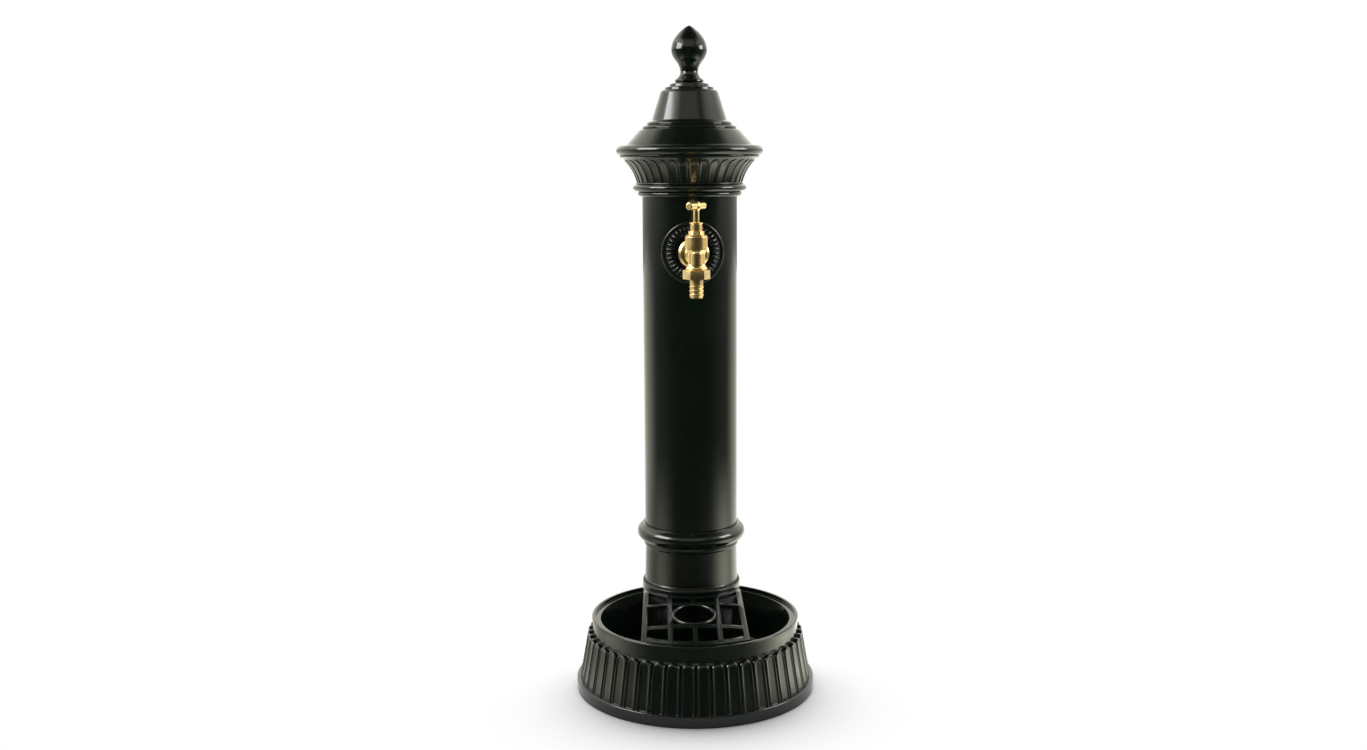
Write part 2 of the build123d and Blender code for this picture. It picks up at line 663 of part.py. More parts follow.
# Capital: socket casting with two rings, and the leaved bell that carries the roof
thin_ring_z = CAPITAL_FOOT_Z + 0.5 + THIN_RING_HALF
thick_ring_z = BELL_FOOT_Z - 1.5 - THICK_RING_HALF
with BuildPart() as capital:
    with BuildSketch(COLUMN_PLANE):
        with BuildLine():
            Polyline(
                (SOCKET_R, CAPITAL_FOOT_Z),
                (THIN_RING_R - 4, CAPITAL_FOOT_Z),
                (THIN_RING_R - 3, thin_ring_z - THIN_RING_HALF),
            )
            ThreePointArc(
                (THIN_RING_R - 3, thin_ring_z - THIN_RING_HALF),
                (THIN_RING_R, thin_ring_z),
                (THIN_RING_R - 3, thin_ring_z + THIN_RING_HALF),
            )
            Line(
                (THIN_RING_R - 3, thin_ring_z + THIN_RING_HALF),
                (THICK_RING_R - 5, thick_ring_z - THICK_RING_HALF),
            )
            ThreePointArc(
                (THICK_RING_R - 5, thick_ring_z - THICK_RING_HALF),
                (THICK_RING_R, thick_ring_z),
                (THICK_RING_R - 5, thick_ring_z + THICK_RING_HALF),
            )
            Line((THICK_RING_R - 5, thick_ring_z + THICK_RING_HALF), (BELL_FOOT_R, BELL_FOOT_Z))
            ThreePointArc(
                (BELL_FOOT_R, BELL_FOOT_Z),
                (BELL_MID_R, BELL_MID_Z),
                (BELL_TOP_R, BELL_TOP_Z),
            )
            Polyline(
                (BELL_TOP_R, BELL_TOP_Z),
                (CAPITAL_TOP_R, BELL_TOP_Z + 1),
                (CAPITAL_TOP_R, CAPITAL_TOP_Z),
                (BELL_TOP_R - 2 * CAPITAL_WALL, CAPITAL_TOP_Z),
                (BELL_TOP_R - 2 * CAPITAL_WALL, BELL_TOP_Z - CAPITAL_WALL),
                (BELL_MID_R - CAPITAL_WALL, BELL_MID_Z),
                (SHAFT_BORE_R, SHAFT_TOP_Z + CAPITAL_WALL),
                (SHAFT_BORE_R, SHAFT_TOP_Z),
                (SOCKET_R, SHAFT_TOP_Z),
                (SOCKET_R, CAPITAL_FOOT_Z),
            )
        make_face()
    revolve(axis=COLUMN_AXIS)
    with Locations((0, COLUMN_Y)):
        with PolarLocations(0, LEAF_COUNT):
            add(leaf.part.moved(Location((0, -COLUMN_Y, 0))))
capital.part.label = "capital"

# Roof: one thin casting with cornice, cone, two rings, spire and steps, open below
cornice_top_z = CAPITAL_TOP_Z + CORNICE_HEIGHT
cornice_foot_r = CORNICE_R - CORNICE_HEIGHT / 2
spigot_r = BELL_TOP_R - 2 * CAPITAL_WALL - HOLE_GAP
ring_low_z = CONE_TOP_Z + 1
ring_high_z = ring_low_z + 6.5
with BuildPart() as roof_cap:
    with BuildSketch(COLUMN_PLANE):
        with BuildLine():
            Line((spigot_r, CAPITAL_TOP_Z), (cornice_foot_r, CAPITAL_TOP_Z))
            ThreePointArc(
                (cornice_foot_r, CAPITAL_TOP_Z),
                (CORNICE_R, CAPITAL_TOP_Z + CORNICE_HEIGHT / 2),
                (cornice_foot_r, cornice_top_z),
            )
            Polyline(
                (cornice_foot_r, cornice_top_z),
                (EAVES_R, cornice_top_z + 1),
                (CONE_TOP_R + 1.5, CONE_TOP_Z - 2),
                (CONE_TOP_R - 1, CONE_TOP_Z),
                (ROOF_RING_LOW_R - 1, ring_low_z),
            )
            ThreePointArc(
                (ROOF_RING_LOW_R - 1, ring_low_z),
                (ROOF_RING_LOW_R, ring_low_z + 2.5),
                (ROOF_RING_LOW_R - 2, ring_low_z + 5),
            )
            Line((ROOF_RING_LOW_R - 2, ring_low_z + 5), (ROOF_RING_HIGH_R - 1, ring_high_z))
            ThreePointArc(
                (ROOF_RING_HIGH_R - 1, ring_high_z),
                (ROOF_RING_HIGH_R, ring_high_z + 2.5),
                (ROOF_RING_HIGH_R - 2, ring_high_z + 5),
            )
            Polyline(
                (ROOF_RING_HIGH_R - 2, ring_high_z + 5),
                (SPIRE_FOOT_R, SPIRE_FOOT_Z),
                (SPIRE_TOP_R, SPIRE_TOP_Z),
            )
            ThreePointArc(
                (SPIRE_TOP_R, SPIRE_TOP_Z),
                (SPIRE_TOP_R - 1.6, SPIRE_TOP_Z + 3),
                (SPIRE_TOP_R - 5, SPIRE_TOP_Z + 4.2),
            )
            Polyline(
                (SPIRE_TOP_R - 5, SPIRE_TOP_Z + 4.2),
                (SPIRE_TOP_R - 7.5, SPIRE_TOP_Z + 4.2),
                (SPIRE_TOP_R - 7.9, SPIRE_TOP_Z + 8.5),
                (SPIRE_TOP_R - 15, SPIRE_TOP_Z + 9.5),
                (SPIRE_TOP_R - 16.2, SPIRE_TOP_Z + 14),
                (FINIAL_FOOT_R + 1, ROOF_TOP_Z),
                (ROD_R + HOLE_GAP, ROOF_TOP_Z),
                (ROD_R + HOLE_GAP, SPIRE_TOP_Z + 4.2),
                (SPIRE_TOP_R - 15, SPIRE_TOP_Z + 1),
                (SPIRE_TOP_R - CASTING_WALL, SPIRE_TOP_Z - 4),
                (SPIRE_FOOT_R - CASTING_WALL, SPIRE_FOOT_Z - 4),
                (CONE_TOP_R - 1, CONE_TOP_Z - CASTING_WALL - 3),
                (EAVES_R - 2 * CASTING_WALL, cornice_top_z - CASTING_WALL / 2),
                (spigot_r - CASTING_WALL, CAPITAL_TOP_Z + CASTING_WALL),
                (spigot_r - CASTING_WALL, CAPITAL_TOP_Z - 3),
                (spigot_r, CAPITAL_TOP_Z - 3),
                (spigot_r, CAPITAL_TOP_Z),
            )
        make_face()
    revolve(axis=COLUMN_AXIS)
roof_cap.part.label = "roof_cap"

# Finial: pointed bulb, tapped from below for the tie rod
rod_top_z = ROOF_TOP_Z + ROD_IN_FINIAL
with BuildPart() as finial:
    with BuildSketch(COLUMN_PLANE):
        with BuildLine():
            Polyline(
                (0, FINIAL_TOP_Z),
                (0, rod_top_z + 1),
                (ROD_R + THREAD_GAP, rod_top_z + 1),
                (ROD_R + THREAD_GAP, ROOF_TOP_Z),
                (FINIAL_FOOT_R - 1, ROOF_TOP_Z),
                (FINIAL_FOOT_R, ROOF_TOP_Z + 1.5),
                (FINIAL_FOOT_R, ROOF_TOP_Z + 3.5),
                (FINIAL_FOOT_R - 1.5, ROOF_TOP_Z + 5.5),
            )
            ThreePointArc(
                (FINIAL_FOOT_R - 1.5, ROOF_TOP_Z + 5.5),
                (FINIAL_NECK_R + 2.2, FINIAL_NECK_Z - 7),
                (FINIAL_NECK_R, FINIAL_NECK_Z),
            )
            Spline(
                (FINIAL_NECK_R, FINIAL_NECK_Z),
                (FINIAL_NECK_R + 5, FINIAL_BULB_Z - 19.5),
                (FINIAL_BULB_R, FINIAL_BULB_Z),
                (FINIAL_BULB_R - 4.4, FINIAL_BULB_Z + 19),
                (FINIAL_BULB_R - 19, FINIAL_TOP_Z - 6.2),
                (0, FINIAL_TOP_Z),
                tangents=((0, 1), (-1, 0.25)),
            )
        make_face()
    revolve(axis=COLUMN_AXIS)
finial.part.label = "finial"

# Tie rod from the strap under the column base up into the finial
strap_z = BASE_FOOT_Z - STRAP_THICKNESS
with BuildPart() as tie_rod:
    with BuildSketch(Plane.XY.offset(ROD_START_Z)):
        with Locations((0, COLUMN_Y)):
            Circle(ROD_R)
    extrude(amount=rod_top_z - ROD_START_Z)
    chamfer(tie_rod.edges().filter_by(GeomType.CIRCLE), 0.8)
tie_rod.part.label = "tie_rod"

with BuildPart() as tie_strap:
    with BuildSketch(Plane.XY.offset(strap_z)):
        with Locations((0, COLUMN_Y)):
            SlotOverall(STRAP_LENGTH, STRAP_WIDTH)
            Circle(ROD_R + HOLE_GAP, mode=Mode.SUBTRACT)
    extrude(amount=STRAP_THICKNESS)
tie_strap.part.label = "tie_strap"

with BuildPart() as tie_washer:
    with BuildSketch(Plane.XY.offset(strap_z - ROD_WASHER)):
        with Locations((0, COLUMN_Y)):
            Circle(ROD_WASHER_R)
            Circle(ROD_R + HOLE_GAP, mode=Mode.SUBTRACT)
    extrude(amount=ROD_WASHER)
tie_washer.part.label = "tie_washer"

with BuildPart() as tie_nut:
    with BuildSketch(Plane.XY.offset(strap_z - ROD_WASHER - ROD_NUT)):
        with Locations((0, COLUMN_Y)):
            RegularPolygon(ROD_NUT_AF / 2 * HEX_CORNER, 6)
            Circle(ROD_R + THREAD_GAP, mode=Mode.SUBTRACT)
    extrude(amount=ROD_NUT)
tie_nut.part.label = "tie_nut"

# Medallion: round rosette whose back and field follow the column's round
boss_front = FLANGE_FRONT - FLANGE_THICKNESS


def medallion_ring(outer_r, inner_r):
    """A flat ring about the tap's inlet in the current sketch."""
    with Locations((0, TAP_Z)):
        Circle(outer_r)
        if inner_r:
            Circle(inner_r, mode=Mode.SUBTRACT)


def column_shell(height):
    """Plan of a shell from the column's surface to the given height."""
    with Locations((0, COLUMN_Y)):
        Circle(SHAFT_R + height)
        Circle(SHAFT_R, mode=Mode.SUBTRACT)


shell_foot_z = TAP_Z - MEDALLION_R - 1
shell_height = 2 * MEDALLION_R + 2
with BuildPart() as medallion_rim:
    with BuildSketch(Plane.XY.offset(shell_foot_z)):
        column_shell(MEDALLION_RIM)
    extrude(amount=shell_height)
    with BuildSketch(COLUMN_PLANE):
        medallion_ring(MEDALLION_R, MEDALLION_R - MEDALLION_RIM_WIDTH)
    extrude(amount=SHAFT_R + MEDALLION_RIM, mode=Mode.INTERSECT)

with BuildPart() as petals:
    with BuildSketch(Plane.XY.offset(shell_foot_z)):
        column_shell(MEDALLION_PLATE + PETAL_HEIGHT)
    extrude(amount=shell_height)
    with BuildSketch(COLUMN_PLANE):
        with Locations((0, TAP_Z)):
            with PolarLocations((MEDALLION_FIELD_R + MEDALLION_HUB_R) / 2, PETAL_COUNT):
                SlotOverall(MEDALLION_FIELD_R - MEDALLION_HUB_R, 2 * MEDALLION_HUB_R / PETAL_COUNT * 2)
    extrude(amount=SHAFT_R + MEDALLION_RIM, mode=Mode.INTERSECT)

with BuildPart() as medallion:
    with BuildSketch(Plane.XY.offset(shell_foot_z)):
        column_shell(MEDALLION_PLATE)
    extrude(amount=shell_height)
    with BuildSketch(COLUMN_PLANE):
        medallion_ring(MEDALLION_R, 0)
    extrude(amount=SHAFT_R + MEDALLION_RIM, mode=Mode.INTERSECT)
    add(medallion_rim.part)
    add(petals.part)
    with BuildSketch(COLUMN_PLANE.offset(boss_front)):
        medallion_ring(MEDALLION_BOSS_R, 0)
    extrude(amount=-boss_front)
    with BuildSketch(Plane.XY.offset(shell_foot_z)):
        with Locations((0, COLUMN_Y)):
            Circle(SHAFT_R)
    extrude(amount=shell_height, mode=Mode.SUBTRACT)
    with BuildSketch(COLUMN_PLANE):
        medallion_ring(SHANK_R + SHANK_GAP, 0)
    extrude(amount=boss_front, mode=Mode.SUBTRACT)
medallion.part.label = "medallion"

# Tap flange: domed wall flange round the shank
with BuildPart() as tap_flange:
    with BuildSketch(COLUMN_PLANE.offset(boss_front)):
        medallion_ring(FLANGE_R, SHANK_R + SHANK_GAP)
    extrude(amount=FLANGE_THICKNESS)
    flange_front = tap_flange.faces().sort_by(Axis.Y)[0]
    chamfer(flange_front.edges().sort_by(SortBy.LENGTH)[-1], FLANGE_THICKNESS - 1.5, 5.0)
tap_flange.part.label = "tap_flange"

# Tap body: upright body with its seat, a nose round the passage to the outlet, and the inlet shank
with BuildPart() as tap_body:
    with BuildSketch(TAP_PLANE):
        outline(
            (0, OUTLET_END_Z),
            (OUTLET_THREAD_R, OUTLET_END_Z),
            (OUTLET_THREAD_R, BODY_FLARE_Z),
            (BODY_FLARE_R, BODY_FLARE_Z + 0.6),
            (BODY_FLARE_R, BODY_FLARE_Z + 1.6),
            (BODY_WAIST_R + 0.8, BODY_WAIST_LOW_Z - 1.5),
            (BODY_WAIST_R, BODY_WAIST_LOW_Z + 1),
            (BODY_WAIST_R, BODY_WAIST_TOP_Z),
            (BODY_TOP_R - 0.8, BODY_SHOULDER_Z),
            (BODY_TOP_R, BODY_SHOULDER_Z + 1.5),
            (BODY_TOP_R, BODY_TOP_Z - 1),
            (BODY_TOP_R - 1, BODY_TOP_Z),
            (0, BODY_TOP_Z),
        )
    revolve(axis=TAP_AXIS)
    with BuildSketch(Plane.XY.offset(BODY_WAIST_LOW_Z)):
        with Locations((0, TAP_Y - NOSE_OFFSET)):
            Circle(NOSE_R)
    extrude(amount=BODY_SHOULDER_Z - BODY_WAIST_LOW_Z + 3)
    with Locations((0, TAP_Y - NOSE_OFFSET, BODY_WAIST_LOW_Z)):
        Sphere(NOSE_R)
    with BuildSketch(TAP_PLANE):
        with Locations((0, TAP_Z)):
            Circle(BARREL_R)
    extrude(amount=FLANGE_FRONT - TAP_REACH)
    with BuildSketch(COLUMN_PLANE.offset(SHAFT_R - SHANK_END)):
        with Locations((0, TAP_Z)):
            Circle(SHANK_R)
    extrude(amount=FLANGE_FRONT - SHAFT_R + SHANK_END)
    with BuildSketch(COLUMN_PLANE.offset(FLANGE_FRONT)):
        with Locations((0, TAP_Z)):
            Circle(SHANK_R + 2)
    extrude(amount=4)
    with BuildSketch(Plane.XY.offset(OUTLET_END_Z)):
        with Locations((0, TAP_Y)):
            Circle(OUTLET_BORE_R)
    extrude(amount=OUTLET_BORE_TOP_Z - OUTLET_END_Z, mode=Mode.SUBTRACT)
    with BuildSketch(Plane.XY.offset(SEAT_Z)):
        with Locations((0, TAP_Y)):
            Circle(CHAMBER_R)
            Circle(SEAT_HOLE_R + SEAT_LIP_WIDTH, mode=Mode.SUBTRACT)
    extrude(amount=SEAT_LIP, mode=Mode.SUBTRACT)
    with BuildSketch(Plane.XY.offset(SEAT_Z + SEAT_LIP)):
        with Locations((0, TAP_Y)):
            Circle(CHAMBER_R)
    extrude(amount=BONNET_LOW_Z - SEAT_Z - SEAT_LIP, mode=Mode.SUBTRACT)
    with BuildSketch(Plane.XY.offset(BONNET_LOW_Z)):
        with Locations((0, TAP_Y)):
            Circle(BONNET_THREAD_R + THREAD_GAP)
    extrude(amount=BODY_TOP_Z - BONNET_LOW_Z, mode=Mode.SUBTRACT)
    with BuildSketch(Plane.XY.offset(POCKET_TOP_Z)):
        with Locations((0, TAP_Y)):
            Circle(SEAT_HOLE_R)
    extrude(amount=SEAT_Z + SEAT_LIP - POCKET_TOP_Z, mode=Mode.SUBTRACT)
    with BuildSketch(Plane.XY.offset(POCKET_FLOOR_Z)):
        with Locations((0, TAP_Y)):
            Circle(POCKET_R)
    extrude(amount=POCKET_TOP_Z - POCKET_FLOOR_Z, mode=Mode.SUBTRACT)
    with BuildSketch(TAP_PLANE):
        with Locations((0, (POCKET_FLOOR_Z + POCKET_TOP_Z) / 2)):
            Circle(POCKET_R - 1)
    extrude(amount=-BODY_WAIST_R - 4, mode=Mode.SUBTRACT)
    with BuildSketch(TAP_PLANE.offset(-BODY_WAIST_R - 2)):
        with Locations((0, TAP_Z)):
            Circle(SHANK_BORE_R)
    extrude(amount=-TAP_REACH, mode=Mode.SUBTRACT)
    with BuildSketch(Plane.XY.offset(OUTLET_BORE_TOP_Z - 4)):
        with Locations((0, TAP_Y - PASSAGE_OFFSET)):
            Circle(PASSAGE_R)
    extrude(amount=SEAT_Z + SEAT_LIP - OUTLET_BORE_TOP_Z + 4, mode=Mode.SUBTRACT)
tap_body.part.label = "tap_body"

# Bonnet with its washer, screwed into the top of the body
with BuildPart() as bonnet_washer:
    with BuildSketch(Plane.XY.offset(BODY_TOP_Z)):
        with Locations((0, TAP_Y)):
            Circle(BODY_TOP_R - 1.5)
            Circle(BONNET_THREAD_R + THREAD_GAP, mode=Mode.SUBTRACT)
    extrude(amount=BONNET_WASHER)
bonnet_washer.part.label = "bonnet_washer"

bonnet_seat_z = BODY_TOP_Z + BONNET_WASHER
with BuildPart() as tap_bonnet:
    with BuildSketch(TAP_PLANE):
        outline(
            (SPINDLE_THREAD_R + RUNNING_GAP, BONNET_LOW_Z),
            (BONNET_THREAD_R, BONNET_LOW_Z),
            (BONNET_THREAD_R, bonnet_seat_z),
            (BODY_TOP_R - 2, bonnet_seat_z),
            (BODY_TOP_R - 2, bonnet_seat_z + 1.2),
            (GLAND_STUB_R, bonnet_seat_z + 1.2),
            (GLAND_STUB_R, GLAND_STUB_TOP_Z),
            (GLAND_POCKET_R, GLAND_STUB_TOP_Z),
            (GLAND_POCKET_R, GLAND_POCKET_Z),
            (SPINDLE_THREAD_R + RUNNING_GAP, GLAND_POCKET_Z),
        )
    revolve(axis=TAP_AXIS)
    with BuildSketch(Plane.XY.offset(bonnet_seat_z + 1.2)):
        with Locations((0, TAP_Y)):
            RegularPolygon(BONNET_AF / 2 * HEX_CORNER, 6)
            Circle(BONNET_HEX_R, mode=Mode.INTERSECT)
            Circle(GLAND_STUB_R, mode=Mode.SUBTRACT)
    extrude(amount=BONNET_TOP_Z - bonnet_seat_z - 1.2)
tap_bonnet.part.label = "tap_bonnet"

with BuildPart() as gland_packing:
    with BuildSketch(Plane.XY.offset(GLAND_POCKET_Z)):
        with Locations((0, TAP_Y)):
            Circle(GLAND_POCKET_R)
            Circle(SPINDLE_R + RUNNING_GAP, mode=Mode.SUBTRACT)
    extrude(amount=GLAND_STUB_TOP_Z - GLAND_POCKET_Z)
gland_packing.part.label = "gland_packing"

with BuildPart() as gland_nut:
    with BuildSketch(TAP_PLANE):
        outline(
            (GLAND_STUB_R + THREAD_GAP, BONNET_TOP_Z),
            (GLAND_NUT_R, BONNET_TOP_Z),
            (GLAND_NUT_R, GLAND_TOP_Z - GLAND_DISC),
            (GLAND_DISC_R, GLAND_TOP_Z - GLAND_DISC),
            (GLAND_DISC_R, GLAND_TOP_Z - 0.5),
            (GLAND_DISC_R - 0.5, GLAND_TOP_Z),
            (SPINDLE_R + RUNNING_GAP, GLAND_TOP_Z),
            (SPINDLE_R + RUNNING_GAP, GLAND_STUB_TOP_Z),
            (GLAND_STUB_R + THREAD_GAP, GLAND_STUB_TOP_Z),
        )
    revolve(axis=TAP_AXIS)
gland_nut.part.label = "gland_nut"

# Jumper on its seat, with its washer and the nut that holds it
washer_z = SEAT_Z + SEAT_LIP
with BuildPart() as jumper_nut:
    with BuildSketch(Plane.XY.offset(washer_z - JUMPER_NUT)):
        with Locations((0, TAP_Y)):
            RegularPolygon(JUMPER_NUT_R, 6)
            Circle(JUMPER_STEM_R / 2 + THREAD_GAP, mode=Mode.SUBTRACT)
    extrude(amount=JUMPER_NUT)
jumper_nut.part.label = "jumper_nut"

with BuildPart() as jumper_washer:
    with BuildSketch(Plane.XY.offset(washer_z)):
        with Locations((0, TAP_Y)):
            Circle(JUMPER_R)
            Circle(JUMPER_STEM_R / 2 + THREAD_GAP, mode=Mode.SUBTRACT)
    extrude(amount=JUMPER_WASHER)
jumper_washer.part.label = "jumper_washer"

with BuildPart() as jumper_valve:
    with BuildSketch(TAP_PLANE):
        outline(
            (0, washer_z - JUMPER_NUT),
            (JUMPER_STEM_R / 2, washer_z - JUMPER_NUT),
            (JUMPER_STEM_R / 2, washer_z + JUMPER_WASHER),
            (JUMPER_R, washer_z + JUMPER_WASHER),
            (JUMPER_R, JUMPER_TOP_Z),
            (JUMPER_STEM_R, JUMPER_TOP_Z),
            (JUMPER_STEM_R, JUMPER_TOP_Z + JUMPER_STEM),
            (0, JUMPER_TOP_Z + JUMPER_STEM),
        )
    revolve(axis=TAP_AXIS)
jumper_valve.part.label = "jumper_valve"

# Spindle with its round head, and the T-bar through the head
handle_way = (cos(radians(HANDLE_TURN)), sin(radians(HANDLE_TURN)), 0)
with BuildPart() as handle_bore:
    with BuildSketch(Plane(origin=(0, TAP_Y, HANDLE_Z), z_dir=handle_way)):
        Circle(HANDLE_R)
    extrude(amount=HANDLE_LENGTH / 2, both=True)

with BuildPart() as tap_spindle:
    with BuildSketch(TAP_PLANE):
        outline(
            (JUMPER_STEM_R + RUNNING_GAP, JUMPER_TOP_Z),
            (SPINDLE_THREAD_R, JUMPER_TOP_Z),
            (SPINDLE_THREAD_R, SPINDLE_THREAD_TOP_Z),
            (SPINDLE_R, SPINDLE_THREAD_TOP_Z),
            (SPINDLE_R, HANDLE_Z),
            (0, HANDLE_Z),
            (0, JUMPER_TOP_Z + JUMPER_STEM + 1),
            (JUMPER_STEM_R + RUNNING_GAP, JUMPER_TOP_Z + JUMPER_STEM + 1),
        )
    revolve(axis=TAP_AXIS)
    with Locations((0, TAP_Y, HANDLE_Z)):
        Sphere(SPINDLE_HEAD_R)
    add(handle_bore.part, mode=Mode.SUBTRACT)
tap_spindle.part.label = "tap_spindle"

with BuildPart() as handle_bar:
    add(handle_bore.part)
    chamfer(handle_bar.edges().filter_by(GeomType.CIRCLE), 0.8)
handle_bar.part.label = "handle_bar"

# Union nut, hose tail and washer below the outlet
with BuildPart() as union_washer:
    with BuildSketch(Plane.XY.offset(UNION_LOW_Z + UNION_FLOOR + TAIL_COLLAR)):
        with Locations((0, TAP_Y)):
            Circle(TAIL_COLLAR_R)
            Circle(OUTLET_BORE_R - 1, mode=Mode.SUBTRACT)
    extrude(amount=OUTLET_END_Z - UNION_LOW_Z - UNION_FLOOR - TAIL_COLLAR)
union_washer.part.label = "union_washer"

with BuildPart() as union_nut:
    with BuildSketch(Plane.XY.offset(UNION_LOW_Z)):
        with Locations((0, TAP_Y)):
            RegularPolygon(UNION_AF / 2 * HEX_CORNER, 6)
            Circle(UNION_HOLE_R, mode=Mode.SUBTRACT)
    extrude(amount=UNION_TOP_Z - UNION_LOW_Z)
    with BuildSketch(Plane.XY.offset(UNION_LOW_Z + UNION_FLOOR)):
        with Locations((0, TAP_Y)):
            Circle(OUTLET_THREAD_R + THREAD_GAP)
    extrude(amount=UNION_TOP_Z - UNION_LOW_Z - UNION_FLOOR, mode=Mode.SUBTRACT)
union_nut.part.label = "union_nut"

collar_z = UNION_LOW_Z + UNION_FLOOR
barb_points = []
for barb in range(TAIL_BARBS):
    barb_z = TAIL_END_Z + 1 + (TAIL_BARBS - barb) * TAIL_BARB_PITCH
    barb_points += [
        (TAIL_ROOT_R, barb_z),
        (TAIL_BARB_R, barb_z - 1.2),
        (TAIL_BARB_R, barb_z - 2.6),
        (TAIL_ROOT_R, barb_z - TAIL_BARB_PITCH + 0.6),
    ]
with BuildPart() as hose_tail:
    with BuildSketch(TAP_PLANE):
        outline(
            (TAIL_BORE_R, collar_z + TAIL_COLLAR),
            (TAIL_COLLAR_R, collar_z + TAIL_COLLAR),
            (TAIL_COLLAR_R, collar_z),
            (TAIL_NECK_R, collar_z),
            (TAIL_NECK_R, barb_points[0][1] + 1),
            *barb_points,
            (TAIL_ROOT_R, TAIL_END_Z),
            (TAIL_BORE_R, TAIL_END_Z),
        )
    revolve(axis=TAP_AXIS)
hose_tail.part.label = "hose_tail"

# Inside the column: saddle washer, lock nut and elbow on the shank
saddle_plane = COLUMN_PLANE.offset(SADDLE_FLAT)
with BuildPart() as shank_saddle:
    with BuildSketch(saddle_plane):
        medallion_ring(SADDLE_R, SHANK_R + SHANK_GAP)
    extrude(amount=SHAFT_BORE_R - SADDLE_FLAT)
    with BuildSketch(Plane.XY.offset(shell_foot_z)):
        with Locations((0, COLUMN_Y)):
            Circle(SHAFT_BORE_R)
    extrude(amount=shell_height, mode=Mode.INTERSECT)
shank_saddle.part.label = "shank_saddle"

with BuildPart() as shank_locknut:
    with BuildSketch(saddle_plane):
        with Locations((0, TAP_Z)):
            RegularPolygon(LOCKNUT_AF / 2 * HEX_CORNER, 6)
            Circle(SHANK_R + THREAD_GAP, mode=Mode.SUBTRACT)
    extrude(amount=-LOCKNUT)
shank_locknut.part.label = "shank_locknut"

elbow_front = SADDLE_FLAT - LOCKNUT
shank_inner = SHAFT_R - SHANK_END
with BuildPart() as wall_elbow:
    with BuildSketch(COLUMN_PLANE.offset(PIPE_OFFSET)):
        with Locations((0, TAP_Z)):
            Circle(ELBOW_SOCKET_R)
    extrude(amount=elbow_front - PIPE_OFFSET)
    with Locations((0, PIPE_Y, TAP_Z)):
        Sphere(ELBOW_SOCKET_R)
    with BuildSketch(Plane.XY.offset(ELBOW_LEG_Z)):
        with Locations((0, PIPE_Y)):
            Circle(ELBOW_LEG_R)
    extrude(amount=TAP_Z - ELBOW_LEG_Z)
    with BuildSketch(COLUMN_PLANE.offset(PIPE_OFFSET)):
        with Locations((0, TAP_Z)):
            Circle(PIPE_R - PIPE_WALL)
    extrude(amount=elbow_front - PIPE_OFFSET, mode=Mode.SUBTRACT)
    with BuildSketch(COLUMN_PLANE.offset(shank_inner)):
        with Locations((0, TAP_Z)):
            Circle(SHANK_R + THREAD_GAP)
    extrude(amount=elbow_front - shank_inner, mode=Mode.SUBTRACT)
    with BuildSketch(Plane.XY.offset(ELBOW_LEG_Z)):
        with Locations((0, PIPE_Y)):
            Circle(PIPE_R - PIPE_WALL)
    extrude(amount=TAP_Z - ELBOW_LEG_Z, mode=Mode.SUBTRACT)
    with BuildSketch(Plane.XY.offset(ELBOW_LEG_Z)):
        with Locations((0, PIPE_Y)):
            Circle(PIPE_R + THREAD_GAP)
    extrude(amount=PIPE_DEPTH, mode=Mode.SUBTRACT)
wall_elbow.part.label = "wall_elbow"

with BuildPart() as elbow_nut:
    with BuildSketch(Plane.XY.offset(ELBOW_LEG_Z - COMPRESSION_NUT)):
        with Locations((0, PIPE_Y)):
            RegularPolygon(COMPRESSION_AF / 2 * HEX_CORNER, 6)
            Circle(PIPE_R + THREAD_GAP, mode=Mode.SUBTRACT)
    extrude(amount=COMPRESSION_NUT)
elbow_nut.part.label = "elbow_nut"

inlet_top_z = INLET_END_Z + INLET_BODY + INLET_NECK
with BuildPart() as supply_pipe:
    with BuildSketch(Plane.XY.offset(inlet_top_z - PIPE_DEPTH)):
        with Locations((0, PIPE_Y)):
            Circle(PIPE_R)
            Circle(PIPE_R - PIPE_WALL, mode=Mode.SUBTRACT)
    extrude(amount=ELBOW_LEG_Z + PIPE_DEPTH - inlet_top_z + PIPE_DEPTH)
supply_pipe.part.label = "supply_pipe"

with BuildPart() as inlet_adapter:
    with BuildSketch(Plane.XY.offset(INLET_END_Z)):
        with Locations((0, PIPE_Y)):
            RegularPolygon(INLET_HEX_AF / 2 * HEX_CORNER, 6)
    extrude(amount=INLET_BODY)
    with BuildSketch(Plane.XY.offset(INLET_END_Z + INLET_BODY)):
        with Locations((0, PIPE_Y)):
            Circle(INLET_NECK_R)
    extrude(amount=INLET_NECK)
    with BuildSketch(Plane.XY.offset(INLET_END_Z)):
        with Locations((0, PIPE_Y)):
            Circle(INLET_THREAD_R)
    extrude(amount=INLET_THREAD, mode=Mode.SUBTRACT)
    with BuildSketch(Plane.XY.offset(INLET_END_Z)):
        with Locations((0, PIPE_Y)):
            Circle(PIPE_R - PIPE_WALL)
    extrude(amount=INLET_BODY + INLET_NECK, mode=Mode.SUBTRACT)
    with BuildSketch(Plane.XY.offset(inlet_top_z - PIPE_DEPTH)):
        with Locations((0, PIPE_Y)):
            Circle(PIPE_R + THREAD_GAP)
    extrude(amount=PIPE_DEPTH, mode=Mode.SUBTRACT)
inlet_adapter.part.label = "inlet_adapter"

with BuildPart() as inlet_nut:
    with BuildSketch(Plane.XY.offset(inlet_top_z)):
        with Locations((0, PIPE_Y)):
            RegularPolygon(COMPRESSION_AF / 2 * HEX_CORNER, 6)
            Circle(PIPE_R + THREAD_GAP, mode=Mode.SUBTRACT)
    extrude(amount=COMPRESSION_NUT)
inlet_nut.part.label = "inlet_nut"

